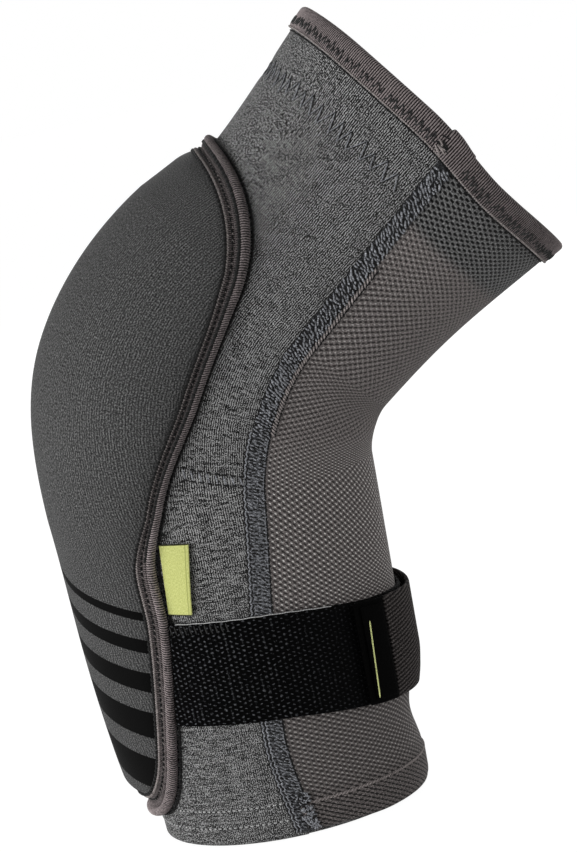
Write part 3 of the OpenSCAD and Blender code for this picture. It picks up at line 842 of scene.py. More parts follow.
def upper_knit():
    up, across = grid(130, 150)
    way = mix(cross_way(across) + MOVE_GAP / 2, SLEEVE_LEN - LAYER_GAP, up)
    rise, turn = FABRIC_T - grip_dent(way), knit_turn(way, across)
    return panel("upper_knit_cloth", way, rise, turn, KNIT, UPPER_RADIUS + FABRIC_T)


# The mesh has as many columns from the crook to the seam all the way up. Below the elbow its rows sink
# towards the crook, and above it they stand further apart
MESH_ACROSS, MESH_SINK, MESH_CROOK = 66, 0.32, 15
SINK_LOW, SINK_LOW_LEN, SINK_HIGH, SINK_HIGH_LEN = 40, 40, 155, 35
mesh_up = curve([0, 0], [50, 56], [110, 114], [190, 180], [SLEEVE_LEN, 226])


def mesh_cut(way, turn):
    """Where a place lies on the mesh as it was cut, from the crook and the hem."""
    across = MESH_ACROSS * turn / seam_turn(way)
    inward = MESH_ACROSS - np.hypot(across, MESH_CROOK)
    sink = MESH_SINK * ease((way - SINK_LOW) / SINK_LOW_LEN) * ease((SINK_HIGH - way) / SINK_HIGH_LEN)
    return pairs(across, mesh_up(way) + sink * inward)


# The mesh is doubled at its hem, which stands higher beside the seams
HEM_STEP, HEM_STEP_FOOT, HEM_STEP_HEAD, HEM_STEP_DROP = 0.5, 1.5, 1.2, 1.5
MESH_HEM_UP, MESH_HEM_TURN, MESH_HEM_SPREAD = 0.9, 45, 30


def mesh_panel():
    across = np.linspace(1, -1, 130)[None]
    way, rise = hem_fold(hem_rows(SLEEVE_LEN - LAYER_GAP + 0 * across, 220))
    turn = (seam_turn(way) - as_turn(MOVE_GAP / 2, way)) * across
    beside_seam = ease((np.abs(turn) - MESH_HEM_TURN) / MESH_HEM_SPREAD)
    way = way + MESH_HEM_UP * (1 - ease(way / HEM_H)) * beside_seam
    doubled = ease((way - FABRIC_T) / HEM_STEP_FOOT) * ease((HEM_H - HEM_STEP_DROP - way) / HEM_STEP_HEAD)
    rise = rise + HEM_STEP * doubled
    cloth = panel("mesh_cloth", way, rise, turn, MESH)
    add_map(cloth.data, "cut", np.concatenate([mesh_cut(way, turn).reshape(-1, 2)] * 2))
    return cloth


# Seams

# The same irregular stitches every time
CHANCE = np.random.default_rng(7)


def uneven(like, size):
    """A small random step for each thread."""
    return CHANCE.uniform(-size, size, (len(like), 1))


# Short stitches in columns, which fall towards the mesh and stand out more above the cross seam
SEAM_PITCH, SEAM_FALL, SEAM_HALF = 1.1, 0.5, 0.6
SEAM_COLUMNS = (-1.8, -0.45, 0.9, 1.95)
SEAM_THREADS = (0.42, 0.5, 0.62)
# How uneven they are: where they start, half their length, their fall, where they lie across and their lift
START_LOOSE, HALF_LOOSE, FALL_LOOSE, SIDE_LOOSE, LIFT_LOOSE = 0.25, 0.2, 0.75, 0.42, 0.22
# How much longer and higher the bold ones are, and the length over which they grow so
BOLD_HALF, BOLD_LIFT, BOLD_SPREAD = 0.12, 0.25, 20
# The dark slits between them
SLIT_HALF, SLIT_LOOSE, SLIT_WAY_LOOSE, SLITS_SHOWN = 0.5, 0.3, 0.15, 0.8
SEAM_EDGE, SEAM_DASH, SEAM_WOBBLE, SEAM_DOME = SEAM_W / 2, 1.25, 0.3, 0.2
ROPE_LEN, ROPE_LOOSE, ROPE_TWIST, TWIST_LOOSE = 1.5, 0.15, 0.65, 0.2
CHAIN_FROM, CHAIN_TO, CHAIN_PITCH, SECOND_ROW = CROSS_BACK, CUFF_EDGE - 34, 1.2, 38
# Rows of dashes: the way up to which they run, place across, share of the wobble, rise, thickness and slot
DASH_ROWS = (
    (CHAIN_FROM, -SEAM_EDGE - 0.4, 1, FABRIC_T + 0.15, 0.5, 0),
    (CHAIN_FROM, -SEAM_EDGE - 0.95, 1, FABRIC_T, 0.4, 2),
    (SLEEVE_LEN, -SEAM_EDGE + 0.1, 1, LAYER1 - 0.1, 0.35, 2),
    (CHAIN_FROM, SEAM_EDGE + 0.1, 0, FABRIC_T + 0.1, 0.5, 2),
    (CHAIN_FROM, SEAM_EDGE - 0.45, 0, LAYER1 - 0.05, 0.45, 4),
    (SECOND_ROW, -SEAM_EDGE + 0.75, 1, LAYER1 + 0.2, 0.5, 0),
)
# Threads of the rope: step along it, place across, share of the twist, rise, bow, thickness and slot
ROPE_ROWS = (
    (0, SEAM_EDGE + 0.4, 1, FABRIC_T + 0.5, 0.25, 0.6, 3),
    (CHAIN_PITCH / 2, SEAM_EDGE + 0.4, 1, FABRIC_T + 0.7, 0, 0.32, 2),
    # Painted shadow: a dark thread on the mesh beside the rope
    (0, SEAM_EDGE + 1.4, 0, FABRIC_T, 0, 0.45, 2),
    (0, SEAM_EDGE - 0.5, 0, LAYER1 + 0.15, 0, 0.45, 2),
)


def flatlock(name, side):
    """Columns of uneven stitches over a strip, a needle row beside it on the knit, and on the mesh a dark
    edge below the cross seam and a rope above it, with a dark thread beside the rope as painted shadow."""
    shape = Shape()
    up, across = grid(150, 7)
    way = mix(FABRIC_T, CUFF_EDGE - LAYER_GAP, up)
    dome = LAYER1 - 0.15 + SEAM_DOME * (1 - (2 * across - 1) ** 2)

    def turn_at(way, along):
        return side * (seam_turn(way) - as_turn(along, way))

    def sew(way, along, rise, thick, slot):
        threads(shape, way, turn_at(way, along), rise, thick, slot)

    turn = turn_at(way, SEAM_W * (across - 0.5))
    shape.slab(skin(way, turn, dome), skin(way, turn, ON_CLOTH), cloth_at(way, turn), 1)
    step = even_steps(4)
    ahead, arch = 2 * step - 1, np.sin(np.pi * step)
    first = np.arange(FABRIC_T + 1, CUFF_EDGE - 2.5, SEAM_PITCH)[:, None]
    bold = ease((first - CHAIN_FROM + BOLD_SPREAD / 2) / BOLD_SPREAD)
    for k, middle in enumerate(SEAM_COLUMNS):
        start = first + SEAM_PITCH * k / 2 + uneven(first, START_LOOSE)
        reach = (SEAM_HALF + BOLD_HALF * bold + uneven(first, HALF_LOOSE)) * ahead
        slant = start - (SEAM_FALL + uneven(first, FALL_LOOSE)) * reach
        along = reach + middle + uneven(first, SIDE_LOOSE)
        lift = LAYER1 + (0.05 + BOLD_LIFT * bold + uneven(first, LIFT_LOOSE)) * arch
        size = CHANCE.uniform(0, 2, len(first)) + bold[:, 0]
        for j, thick in enumerate(SEAM_THREADS):
            for low, slot in ((False, 0), (True, 4)):
                pick = (size.astype(int) == j) & ((bold[:, 0] < 0.5) == low)
                if pick.any():
                    sew(slant[pick], along[pick], lift[pick], thick, slot)
        slit = SLIT_HALF * ahead + uneven(first, SLIT_LOOSE)
        slant = start + SEAM_PITCH / 2 - SEAM_FALL * slit + uneven(first, SLIT_WAY_LOOSE)
        shown = CHANCE.uniform(0, 1, len(first)) < SLITS_SHOWN
        sew(slant[shown], slit[shown] + middle, LAYER1 + 0.12 + 0.12 * bold[shown], 0.5, 2)
    dash = first + SEAM_DASH * (step - 0.5)
    wobble = SEAM_WOBBLE * np.cos(np.pi * np.arange(len(first)))[:, None] * ahead
    for top, along, share, rise, thick, slot in DASH_ROWS:
        pick = first[:, 0] < top
        sew(dash[pick], along + share * wobble[pick], rise, thick, slot)
    first = np.arange(CHAIN_FROM, CHAIN_TO, CHAIN_PITCH)[:, None]
    rope = first + ROPE_LEN * (step - 0.5) + uneven(first, ROPE_LOOSE)
    twist = -(ROPE_TWIST + uneven(first, TWIST_LOOSE)) * ahead
    for shift, along, share, rise, bow, thick, slot in ROPE_ROWS:
        sew(rope + shift, along + share * twist, rise + bow * arch, thick, slot)
    return shape.make(name, SEAM, SEAM_BED, DARK_THREAD, CHAIN_THREAD, SOFT_SEAM)


CROSS_PITCH, CROSS_DASH, CROSS_ROW = 2.3, 1.5, 1.6
CROSS_STRIP_W, CROSS_DOME, LADDER_SHARE = CROSS_W - 1.2, 0.4, 0.8


def cross_seam(name, side):
    """Two rows of dark dashes with ladder stitches between them, from the mesh seam to the piping."""
    shape = Shape()
    first = seam_turn(CROSS_FRONT) + as_turn(SEAM_W / 2 + MOVE_GAP, CROSS_FRONT)
    full = 360 - 2 * seam_turn(CROSS_FRONT)

    def way_at(turn):
        return cross_way((turn - seam_turn(CROSS_FRONT)) / full)

    last = piping_turn(way_at(piping_turn(CROSS_FRONT)))
    up, across = grid(9, 40)
    turn = mix(first, last, across)
    way = way_at(turn) + CROSS_STRIP_W * (up - 0.5)
    top = FABRIC_T + 0.05 + CROSS_DOME * np.sqrt(1 - (2 * up - 1) ** 2)
    at = side * turn
    shape.slab(skin(way, at, top), skin(way, at, ON_CLOTH), cloth_at(way, at))
    pitch = as_turn(CROSS_PITCH, CROSS_FRONT)
    start = np.arange(first, last - pitch, pitch)[:, None]
    step = even_steps(5)
    turn = start + step * pitch * CROSS_DASH / CROSS_PITCH
    for row in (-1, 1):
        threads(shape, way_at(turn) + CROSS_ROW * row, side * turn, FABRIC_T + 0.1, 0.6, 1)
    turn = start + pitch * (0.3 + 0.25 * step)
    way = way_at(turn) + CROSS_ROW * LADDER_SHARE * (2 * step - 1)
    threads(shape, way, side * turn, FABRIC_T + 0.45, 0.45, 2)
    return shape.make(name, KNIT, DARK_THREAD, SEAM)


HEM_ROWS = (11.3, 5.8)
HEM_PITCH, HEM_DASH, MESH_HEM_PITCH = 1.8, 1.05, 1.3
# Room between the rows and the seams
SEAM_ROOM = SEAM_W / 2 + 1.5
# The loose stitches that tack each seam's lower end
TACK_LOW, TACK_HIGH, TACK_COUNT = 2.0, 13.5, 34
TACK_LENGTHS, TACK_ACROSS = (0.6, 1.5), (0.4, 3.6)


def hem_stitches():
    """Rows of pale dashes round the knit's hem, clear of the seams and the pad, a fine pale row along the
    mesh's hem that is also painted highlight on its fold, and a loose tack on each seam."""
    shape = Shape()
    step = even_steps(5)
    for way in HEM_ROWS:
        first = seam_turn(way) + as_turn(SEAM_ROOM, way)
        last = piping_turn(way) if way > PAD_TOE else 180.0
        pitch = as_turn(HEM_PITCH, way)
        start = np.arange(first, last - pitch / 2, pitch)[:, None]
        turn = start + step * pitch * HEM_DASH / HEM_PITCH
        hole = start + pitch * (HEM_DASH / HEM_PITCH + 0.06 + 0.3 * step)
        for side in (-1, 1):
            threads(shape, way, side * turn, FABRIC_T + 0.06, 0.5)
            threads(shape, way, side * hole, FABRIC_T, 0.42, 1)
    # A fine pale row of stitches along the mesh's hem, which also stands for the fold's painted highlight
    pitch = as_turn(MESH_HEM_PITCH, MESH_FOLD)
    first = seam_turn(MESH_FOLD) - as_turn(SEAM_ROOM, MESH_FOLD)
    turn = np.arange(-first, first - pitch, pitch)[:, None] + pitch * 1.15 * step
    threads(shape, MESH_FOLD + 0.7 * (step - 0.5), turn, FABRIC_T + 0.3, 0.6, 2)
    for side in (-1, 1):
        for slot in (3, 1, 3):
            middle = CHANCE.uniform(TACK_LOW, TACK_HIGH, (TACK_COUNT, 1))
            aim = CHANCE.uniform(-np.pi, np.pi, (TACK_COUNT, 1))
            reach = CHANCE.uniform(*TACK_LENGTHS, (TACK_COUNT, 1)) * (step - 0.5)
            way = middle + reach * np.sin(aim) + 0.3 * np.sin(2 * np.pi * step)
            across = CHANCE.uniform(*TACK_ACROSS, (TACK_COUNT, 1)) + 1.3 * reach * np.cos(aim)
            turn = side * (seam_turn(way) - as_turn(across, way))
            threads(shape, way, turn, STITCH_OUT + 0.05 + 0.4 * np.sin(np.pi * step), 0.55, slot)
    return shape.make("hem_stitching", PALE_THREAD, DARK_THREAD, CHAIN_THREAD, SEAM)


def sleeve_ring(shape, profile, cols, ribs=None):
    """A ring round the sleeve with a profile of [way, rise] points, and ribs off it at each turn."""
    way, rise = np.array(profile, float).T
    turn = np.arange(cols) * 360 / cols
    lift = 0 if ribs is None else ribs(turn)[:, None] * (rise > 0)[None]
    points = skin(way[None], turn[:, None], rise[None] + lift)
    length = distances(np.hypot(np.diff(way), np.diff(rise)))
    shape.ring(points, pairs(turn[:, None] / 360 * RIB_COUNT, length[None]))


def arc(way, rise, size, start, end, steps):
    """Points of a profile's round corner, in degrees from the outward direction towards the cuff."""
    angle = np.radians(np.linspace(start, end, steps))
    return [[way + size * math.sin(a), rise + size * math.cos(a)] for a in angle]


def hem_facing():
    """The turned-in part of the hem, with a round lower edge."""
    shape = Shape()
    outer, inner = LINING + 0.15, LINING - HEM_T
    size = (outer - inner) / 2
    profile = arc(size, inner + size, size, 180, 360, 9) + [[HEM_H, outer], [HEM_H, inner]]
    sleeve_ring(shape, profile, 180)
    return shape.make("hem_facing_cloth", KNIT)


STEPS_PER_RIB = 4


def binding_profile(grow=0.0):
    """A tape folded over the cuff's edge."""
    outer, inner = LAYER1 + BINDING_T + grow, LINING - BINDING_T
    size = (outer - inner) / 2
    fold = SLEEVE_LEN + BINDING_T + grow - size
    outside = [[CUFF_EDGE, LAYER1 + grow], [CUFF_EDGE + 0.1, outer - 0.25], [CUFF_EDGE + 0.5, outer]]
    outside += [[w, outer] for w in np.linspace(CUFF_EDGE + 1.5, fold, 5)[:-1]]
    inside = [[CUFF_EDGE + 0.4, inner], [CUFF_EDGE, inner + 0.2], [CUFF_EDGE, LINING]]
    core = [[fold, LINING], [fold + size - BINDING_T, (LINING + LAYER1 + grow) / 2], [fold, LAYER1 + grow]]
    return outside + arc(fold, inner + size, size, 0, 180, 11) + inside + core


ZIGZAG_COUNT, ZIGZAG_LOW, ZIGZAG_HIGH = 140, 0.9, 3.8
GRIP_ZIGZAGS, GRIP_SWING, GRIP_FIRST, GRIP_LAST = 36, 2.7, 88, 272
# How uneven the corners are, as a share of a leg
CORNER_LOOSE = 0.35


def zigzag(first, last, count, low, high, loose):
    """Way and turn of the legs of an uneven zigzag."""
    corner = np.arange(2 * count + 1)
    place = corner + CHANCE.uniform(-CORNER_LOOSE, CORNER_LOOSE, len(corner))
    turn = first + place * (last - first) / (2 * count)
    way = np.where(corner % 2, high, low) + CHANCE.uniform(-loose, loose, len(corner))
    step = even_steps(6)
    return (mix(v[:-1, None], v[1:, None], step) for v in (way, turn))


def cuff_binding():
    """The ribbed tape, with a loose zigzag of dark thread on its lower half, a pale lower edge as painted
    highlight with a dark thread on the knit under it as painted shadow, and the stitches that hold the grip
    band to the knit below it, drawn with painted shade and highlight."""
    shape = Shape()
    cols = RIB_COUNT * STEPS_PER_RIB
    sleeve_ring(shape, binding_profile(), cols, lambda turn: RIB_H * np.cos(np.radians(turn) * RIB_COUNT))
    outer = LAYER1 + BINDING_T
    bow = np.sin(np.pi * even_steps(6))
    way, turn = zigzag(0, 360, ZIGZAG_COUNT, CUFF_EDGE + ZIGZAG_LOW, CUFF_EDGE + ZIGZAG_HIGH, 0.5)
    shown = CHANCE.uniform(0, 1, len(turn)) < 0.9
    threads(shape, way[shown], turn[shown] + 0.5 * bow, outer + 0.02 + 0.15 * bow, 0.46, 4)
    turn = np.arange(0, 360, 1.0)[:, None] + np.linspace(0, 1.05, 4)[None]
    # A pale thread on the tape's lower edge, painted highlight, and a dark one on the knit under it, painted
    # shadow
    threads(shape, CUFF_EDGE + 0.05, turn, outer + 0.05, 0.62, 2)
    threads(shape, CUFF_EDGE - 0.6, turn, FABRIC_T + 0.1, 0.5, 1)
    low, high = GRIP_ROW - GRIP_SWING, GRIP_ROW + GRIP_SWING
    way, turn = zigzag(GRIP_FIRST, GRIP_LAST, GRIP_ZIGZAGS, low, high, 0.7)
    bed = FABRIC_T - grip_dent(way)
    # Each leg: a dark thread for the stitch and the painted shade of its dent, and beside it a paler thread
    # as painted highlight on the dent's edge
    threads(shape, way, turn, bed + 0.03, 0.35, 1)
    threads(shape, way - 0.3, turn - 0.5, bed + 0.03, 0.36, 3)
    hook, turn = way[::2, -3:], turn[::2, -3:]
    threads(shape, hook, turn, FABRIC_T - grip_dent(hook) + 0.06, 0.5, 1)
    return shape.make("cuff_binding_tape", CUFF_TRIM, DARK_THREAD, CHAIN_THREAD, SEAM, TICK_THREAD)


JOIN_POINTS, JOIN_STEPS = 16, 50
# Loose ends of thread at the join: how many, where they start above the tape's edge and how far they rise
KNOT_ENDS, KNOT_STARTS, KNOT_RISES, KNOT_TURNS, KNOT_LEN = 14, (0.8, 5.2), (-1.2, 1.2), (-2.2, 0.4), 3.2


def cuff_join():
    """The tape's overlapped end, folded over the edge like the tape."""
    shape = Shape()
    profile = np.array(binding_profile(LAYER_GAP + BINDING_T)[:JOIN_POINTS], float)[None]
    under = np.array(binding_profile(0.05)[:JOIN_POINTS], float)[None]
    half = as_turn(JOIN_LEN / 2, SLEEVE_LEN)
    turn = np.linspace(-SEAM_TURN_CUFF - half, -SEAM_TURN_CUFF + half, JOIN_STEPS)
    share = np.linspace(0, 1, JOIN_STEPS)
    full = (rounded(share, 0.1) * (1 - 0.75 * ease((share - 0.3) / 0.7)))[:, None, None]
    outside = mix(under, profile, 0.15 + 0.75 * full)
    ribs = RIB_H * np.cos(np.radians(turn) * RIB_COUNT)[:, None]
    top = skin(outside[..., 0], turn[:, None], outside[..., 1] + ribs)
    bottom = skin(under[..., 0], turn[:, None], under[..., 1])
    length = np.linspace(0, 2 * BINDING_W, JOIN_POINTS)[None]
    shape.slab(top, bottom, pairs(turn[:, None] / 360 * RIB_COUNT, length))
    step = even_steps(6)
    start = CHANCE.uniform(*KNOT_STARTS, (KNOT_ENDS, 1))
    way = CUFF_EDGE + start + CHANCE.uniform(*KNOT_RISES, (KNOT_ENDS, 1)) * step
    turn = -SEAM_TURN_CUFF - half + CHANCE.uniform(*KNOT_TURNS, (KNOT_ENDS, 1)) + KNOT_LEN * step
    rise = LAYER1 + 2 * BINDING_T + LAYER_GAP - 0.2 + 0.35 * np.sin(np.pi * step)
    for slot in (1, 2):
        threads(shape, way[slot - 1 :: 2], turn[slot - 1 :: 2], rise, 0.45, slot)
    return shape.make("cuff_join_tape", CUFF_TRIM, CHAIN_THREAD, DARK_THREAD)


BEADS, BEAD_H, BEAD_POWER, BEAD_ROWS = 4, 0.5, 0.6, 49


def cuff_gripper():
    """The band inside the cuff, with four raised beads of silicone."""
    shape = Shape()
    top, bottom = CUFF_EDGE - LAYER_GAP, CUFF_EDGE - LAYER_GAP - GRIPPER_W
    ways = np.linspace(top, bottom, BEAD_ROWS)
    wave = -np.cos((ways - bottom) / GRIPPER_W * 2 * BEADS * np.pi)
    beads = BEAD_H * np.maximum(0, wave) ** BEAD_POWER
    inside = [[w, LINING - GRIPPER_T / 2 - b] for w, b in zip(ways, beads)]
    sleeve_ring(shape, [[bottom, LINING], [top, LINING]] + inside, 200)
    return shape.make("cuff_grip_band", SILICONE)


# The pad


# The cover dips beside its binding
COVER_GROOVE, COVER_GROOVE_W = 0.85, 1.6
# Share of a half turn over which its columns are spread, closer together at the sides
COVER_SPREAD = 0.96


def pad_cover():
    """The crowned cover."""
    shape = Shape()
    x, across = grid(230, 130)
    inset = COVER_INSET - 0.5
    way = pad_way(mix(0.004, 0.996, x), inset)
    half = edged_side(way, inset)
    along = half * np.sin((across - 0.5) * np.pi * COVER_SPREAD) / math.sin(COVER_SPREAD / 2 * math.pi)
    rise = pad_rise(way, along)
    turn = pad_turn(way, along)
    groove = COVER_GROOVE * np.exp(-(half - np.abs(along)) / COVER_GROOVE_W)
    top = skin(way, turn, rise - groove)
    shape.slab(top, skin(way, turn, rise - COVER_T), pairs(along, way))
    return shape.make("pad_cover_cloth", COVER)


def pad_foam():
    shape = Shape()
    x, across = grid(90, 50)
    way = pad_way(mix(0.01, 0.99, x), COVER_INSET)
    along = pad_side(way, COVER_INSET) * (2 * across - 1)
    turn = pad_turn(way, along)
    top = np.maximum(pad_rise(way, along) - COVER_T - LAYER_GAP, PAD_BASE + 0.2)
    shape.slab(skin(way, turn, top), skin(way, turn, PAD_BASE), pairs(along, way))
    return shape.make("pad_foam_core", FOAM)


def outline(x, side, inset):
    """Way and distance from the pad's centre line at steps round its outline."""
    way = pad_way(x, inset)
    return way, side * edged_side(way, inset)


def round_pad(count, inset):
    """Steps and sides for an even walk round the outline, and its length in millimetres."""
    x = (1 - np.cos(np.linspace(0, np.pi, 6001))) / 2
    way = pad_way(x, inset)
    points = skin(way, pad_turn(way, pad_side(way, inset)), PAD_BASE)
    length = distances(np.linalg.norm(np.diff(points, axis=0), axis=1))
    half = np.interp((np.arange(count // 2) + 0.5) / (count // 2) * length[-1], length, x)
    side = np.repeat([-1.0, 1.0], count // 2)
    return np.concatenate([half, half[::-1]]), side, 2 * length[-1] / MM


# Dark thread in dashes along the roll's outer foot: painted shadow where the roll lies on the knit
FOOT_PARTS, FOOT_STEPS, FOOT_INSET = 280, 5, -0.1
# The dark line between the two ridges, painted shade in the groove, and the way from which the trim round the
# pad is painted darker as shade
GROOVE_INSET, GROOVE_H, GROOVE_W, SHADE_FROM = 2.75, 2.6, 1.4, 92
# Ridges of the folded piping: distance in from the outline, height, half width and half height
OUTER_RIDGE, INNER_RIDGE = (1.3, 1.8, 1.3, 1.8), (3.5, 1.3, 0.95, 1.25)
# The roll lies lower at the pad's head
TUCK, TUCK_LEN = 0.25, 14


def ridge(shape, start, end, steps):
    """Points [inset, height] round part of a ridge, in degrees from inwards to up, and their outward
    directions."""
    inset, height, wide, high = shape
    angle = np.radians(np.linspace(start, end, steps))
    points = np.stack([inset + wide * np.cos(angle), height + high * np.sin(angle)], -1)
    return points, np.stack([np.cos(angle), np.sin(angle)], -1)


def tucked(way):
    """How high the roll stands, as a share of its full height."""
    return 1 - TUCK * ease((way - PAD_HEAD + TUCK_LEN) / TUCK_LEN)


def stitch_steps(count, pitch, long):
    """The steps of a closed row that each of its stitches covers."""
    return (np.arange(count)[:, None] * pitch + np.arange(long)[None]) % (count * pitch)


def pad_piping():
    """A tape folded into two round ridges with fine slanted ribs, with dark thread as painted shadow at its
    foot and as painted shade between the ridges on its upper part.
    """
    shape = Shape()
    count = PIPE_STEPS
    outer, outer_way = ridge(OUTER_RIDGE, 270, -20, 13)
    inner, inner_way = ridge(INNER_RIDGE, 190, -80, 10)
    section = np.concatenate([outer, inner])
    away = np.concatenate([outer_way, inner_way])
    x, side, _ = round_pad(count, TAPE_INSET / 2)
    phase = np.arange(count)[:, None] * PIPE_RIBS / count + np.linspace(PIPE_SLANT, 0, len(section))[None]
    swing = PIPE_RIB_H * (np.cos(2 * np.pi * phase) - 1)
    inset, height = (section[None, :, i] + swing * away[None, :, i] for i in (0, 1))
    way, along = outline(x[:, None], side[:, None], inset)
    points = skin(way, pad_turn(way, along), PAD_BASE + height * tucked(way))
    around = pairs(phase, np.arange(len(section))[None] * 0.5)
    inner_face = np.arange(len(section)) >= len(outer)
    shape.ring(points, around, np.tile(inner_face, count))
    # Painted shadow where the roll lies on the knit
    x, side, _ = round_pad(FOOT_PARTS * FOOT_STEPS, 0)
    pick = stitch_steps(FOOT_PARTS, FOOT_STEPS, FOOT_STEPS + 1)
    way, along = outline(x[pick], side[pick], FOOT_INSET)
    threads(shape, way, pad_turn(way, along), FABRIC_T + 0.25, 0.9, 2)
    # Painted shade: a dark thread in the groove between the ridges, on the upper part
    way, along = outline(x[pick], side[pick], GROOVE_INSET)
    turn, rise = pad_turn(way, along), PAD_BASE + GROOVE_H * tucked(way)
    upper = way.mean(1) > SHADE_FROM
    threads(shape, way[upper], turn[upper], rise[upper], GROOVE_W, 2)
    return shape.make("pad_piping_roll", TRIM, SHADED_RIDGE_TRIM, DARK_THREAD)


# The flat tape's section: distances in from its outer edge, and heights off the pad's surface
TAPE_ACROSS = np.array([0, 0.2, 0.5, 0.9, 1.3, 1.6, 1.9, 2.2, 2.5, 2.75])
TAPE_LIFTS = np.array([-0.6, 0.3, 0.25, 0.0, 0.0, 0.15, 0.35, 0.4, 0.3, 0.0])
TAPE_STEPS, TAPE_RIB = 600, 0.6
STEPS_PER_DASH = 4
LIP_INSET = TAPE_INSET + 2.2
# Rows of stitches: inset and how it changes along a stitch, lift, thickness, pitch, share of the pitch
# and slot
TAPE_ROWS = (
    (TAPE_INSET + 1.2, 0.0, 0.2, 0.7, 1.7, 0.75, 1),
    (TAPE_INSET + 0.95, 0.3, 0.2, 0.4, 2.1, 0.5, 2),
    (LIP_INSET, 0.3, 0.36, 0.62, 0.85, 1.0, 2),
    # Painted shadow: a dark thread between the lip and the cover
    (LIP_INSET + 0.85, 0.0, 0.1, 1.15, 1.7, 1.0, 1),
)
# What a slot's thread becomes on the upper part round the pad, painted darker as shade
SHADED_SLOTS = {1: 1, 2: 3}


def pad_binding():
    """The flat tape between the piping and the cover, its trim painted darker as shade, with a row of
    stitches, a thin pale lip and a dark thread inside the lip as painted shadow.
    """
    shape = Shape()
    x, side, length = round_pad(TAPE_STEPS, TAPE_INSET)
    insets = TAPE_INSET - 0.15 + TAPE_ACROSS

    def line(inset, lift=None):
        """A line round the pad with a lift off its surface, or on its base."""
        way, along = outline(x, side, inset)
        rise = PAD_BASE if lift is None else pad_rise(way, along) + lift
        return skin(way, pad_turn(way, along), rise)

    top = [line(inset, lift) for inset, lift in zip(insets, TAPE_LIFTS)]
    section = np.stack(top + [line(insets[-1]), line(insets[0])], 1)
    place = np.arange(TAPE_STEPS)[:, None] * length / TAPE_STEPS / TAPE_RIB
    shape.ring(section, pairs(place, np.append(insets, [9, 10])[None]))
    for inset, lean_in, lift, thick, pitch, share, slot in TAPE_ROWS:
        dashes = round(length / pitch)
        x, side, _ = round_pad(dashes * STEPS_PER_DASH, inset)
        long = round(STEPS_PER_DASH * share) + 1
        pick = stitch_steps(dashes, STEPS_PER_DASH, long)
        way, along = outline(x[pick], side[pick], inset + lean_in * np.linspace(-1, 1, long)[None])
        turn, rise = pad_turn(way, along), pad_rise(way, along) + lift
        upper = way.mean(1) > SHADE_FROM
        threads(shape, way[~upper], turn[~upper], rise[~upper], thick, slot)
        threads(shape, way[upper], turn[upper], rise[upper], thick, SHADED_SLOTS[slot])
    return shape.make("pad_binding_tape", SHADED_TAPE_TRIM, DARK_THREAD, CHAIN_THREAD, SHADED_CHAIN_THREAD)


# The strap and the labels


def edge_spread(count, length, size):
    """Steps from 0 to 1 with extra ones in the rounds at both ends."""
    fine = np.array([0, 0.06, 0.22, 0.5]) * size / length
    return np.concatenate([fine, np.linspace(size / length, 1 - size / length, count), 1 - fine[::-1]])


BAND_ROUND = 0.6
# The loose elastic leans in at its lower edge in the crook
SAG, SAG_REACH, SAG_TURN = 1.4, 0.4, 30


def band(shape, from_turn, to_turn, cols, margin, base, thick, soft_ends=True, sag=0.0):
    """A length of strap between two turns with rounded edges."""
    wide = STRAP_W - 2 * margin
    u = edge_spread(34, wide, BAND_ROUND)[:, None]
    long = abs(np.mean(to_turn(u)) - np.mean(from_turn(u))) * math.radians(1) * FOREARM_RADIUS
    v = edge_spread(cols, long, BAND_ROUND)[None]
    turn = mix(from_turn(u), to_turn(u), v)
    middle = mix(from_turn(np.array(0.5)), to_turn(np.array(0.5)), v)
    way = strap_mid(middle) + wide * (u - 0.5)
    rim = np.minimum(u, 1 - u) * wide
    if soft_ends:
        rim = np.minimum(rim, np.minimum(v, 1 - v) * long)
    open_ = mix(0.12, 1, rounded(np.broadcast_to(rim, turn.shape), BAND_ROUND)) * thick / 2
    lean_in = sag * ease((SAG_REACH - u) / SAG_REACH) * np.exp(-((turn / SAG_TURN) ** 2))
    centre = base(turn) + thick / 2 - lean_in
    cloth = pairs(np.radians(turn) * FOREARM_RADIUS, wide * u)
    shape.slab(skin(way, turn, centre + open_), skin(way, turn, centre - open_), cloth)


def level(turn):
    return lambda u: np.full_like(u, turn)


TICK_PITCH, TICK_LEN, TICK_END = 1.5, 2.8, -98
PALE_FROM, PALE_TO = -58, -118


def loop_band():
    """The loop band, with overlock ticks and a loose pale thread on its top edge."""
    shape = Shape()
    band(shape, level(LOOP_END_TURN), lambda u: -anchor_edge(u), 150, 0, loop_rise, STRAP_T)
    pitch = as_turn(TICK_PITCH, STRAP_BACK)
    start = np.arange(-ANCHOR_TURN + 2, TICK_END, pitch)[:, None]
    step = even_steps(5)
    turn = start + 0.25 * pitch * step
    way = strap_mid(turn) + STRAP_W / 2 - 0.5 - TICK_LEN * step
    threads(shape, way, turn, loop_rise(turn) + STRAP_T + 0.05, 0.45, 1)
    turn = np.linspace(PALE_FROM, PALE_TO, 90)[None]
    way = strap_mid(turn) + STRAP_W / 2 + 0.05 + 0.06 * np.sin(turn * 0.9)
    threads(shape, way, turn, loop_rise(turn) + STRAP_T - 0.2, 0.32, 2)
    return shape.make("strap_loop_cloth", VELOUR, TICK_THREAD, PALE_THREAD)


def elastic_band():
    shape = Shape()
    last = -TAB_TURN + as_turn(MOVE_GAP, STRAP_FRONT)
    band(shape, anchor_edge, level(last), 170, 0, elastic_rise, STRAP_T, soft_ends=False, sag=SAG)
    return shape.make("strap_elastic_cloth", ELASTIC)


def tab():
    shape = Shape()
    band(shape, level(-TAB_TURN), level(TAB_END_TURN), 30, 0, tab_rise, STRAP_T)
    return shape.make("strap_tab_cloth", PATCH)


HOOK_ROWS, HOOK_COLS, HOOK_SPAN, HOOK_EDGE = 17, 5, 25, 1.5


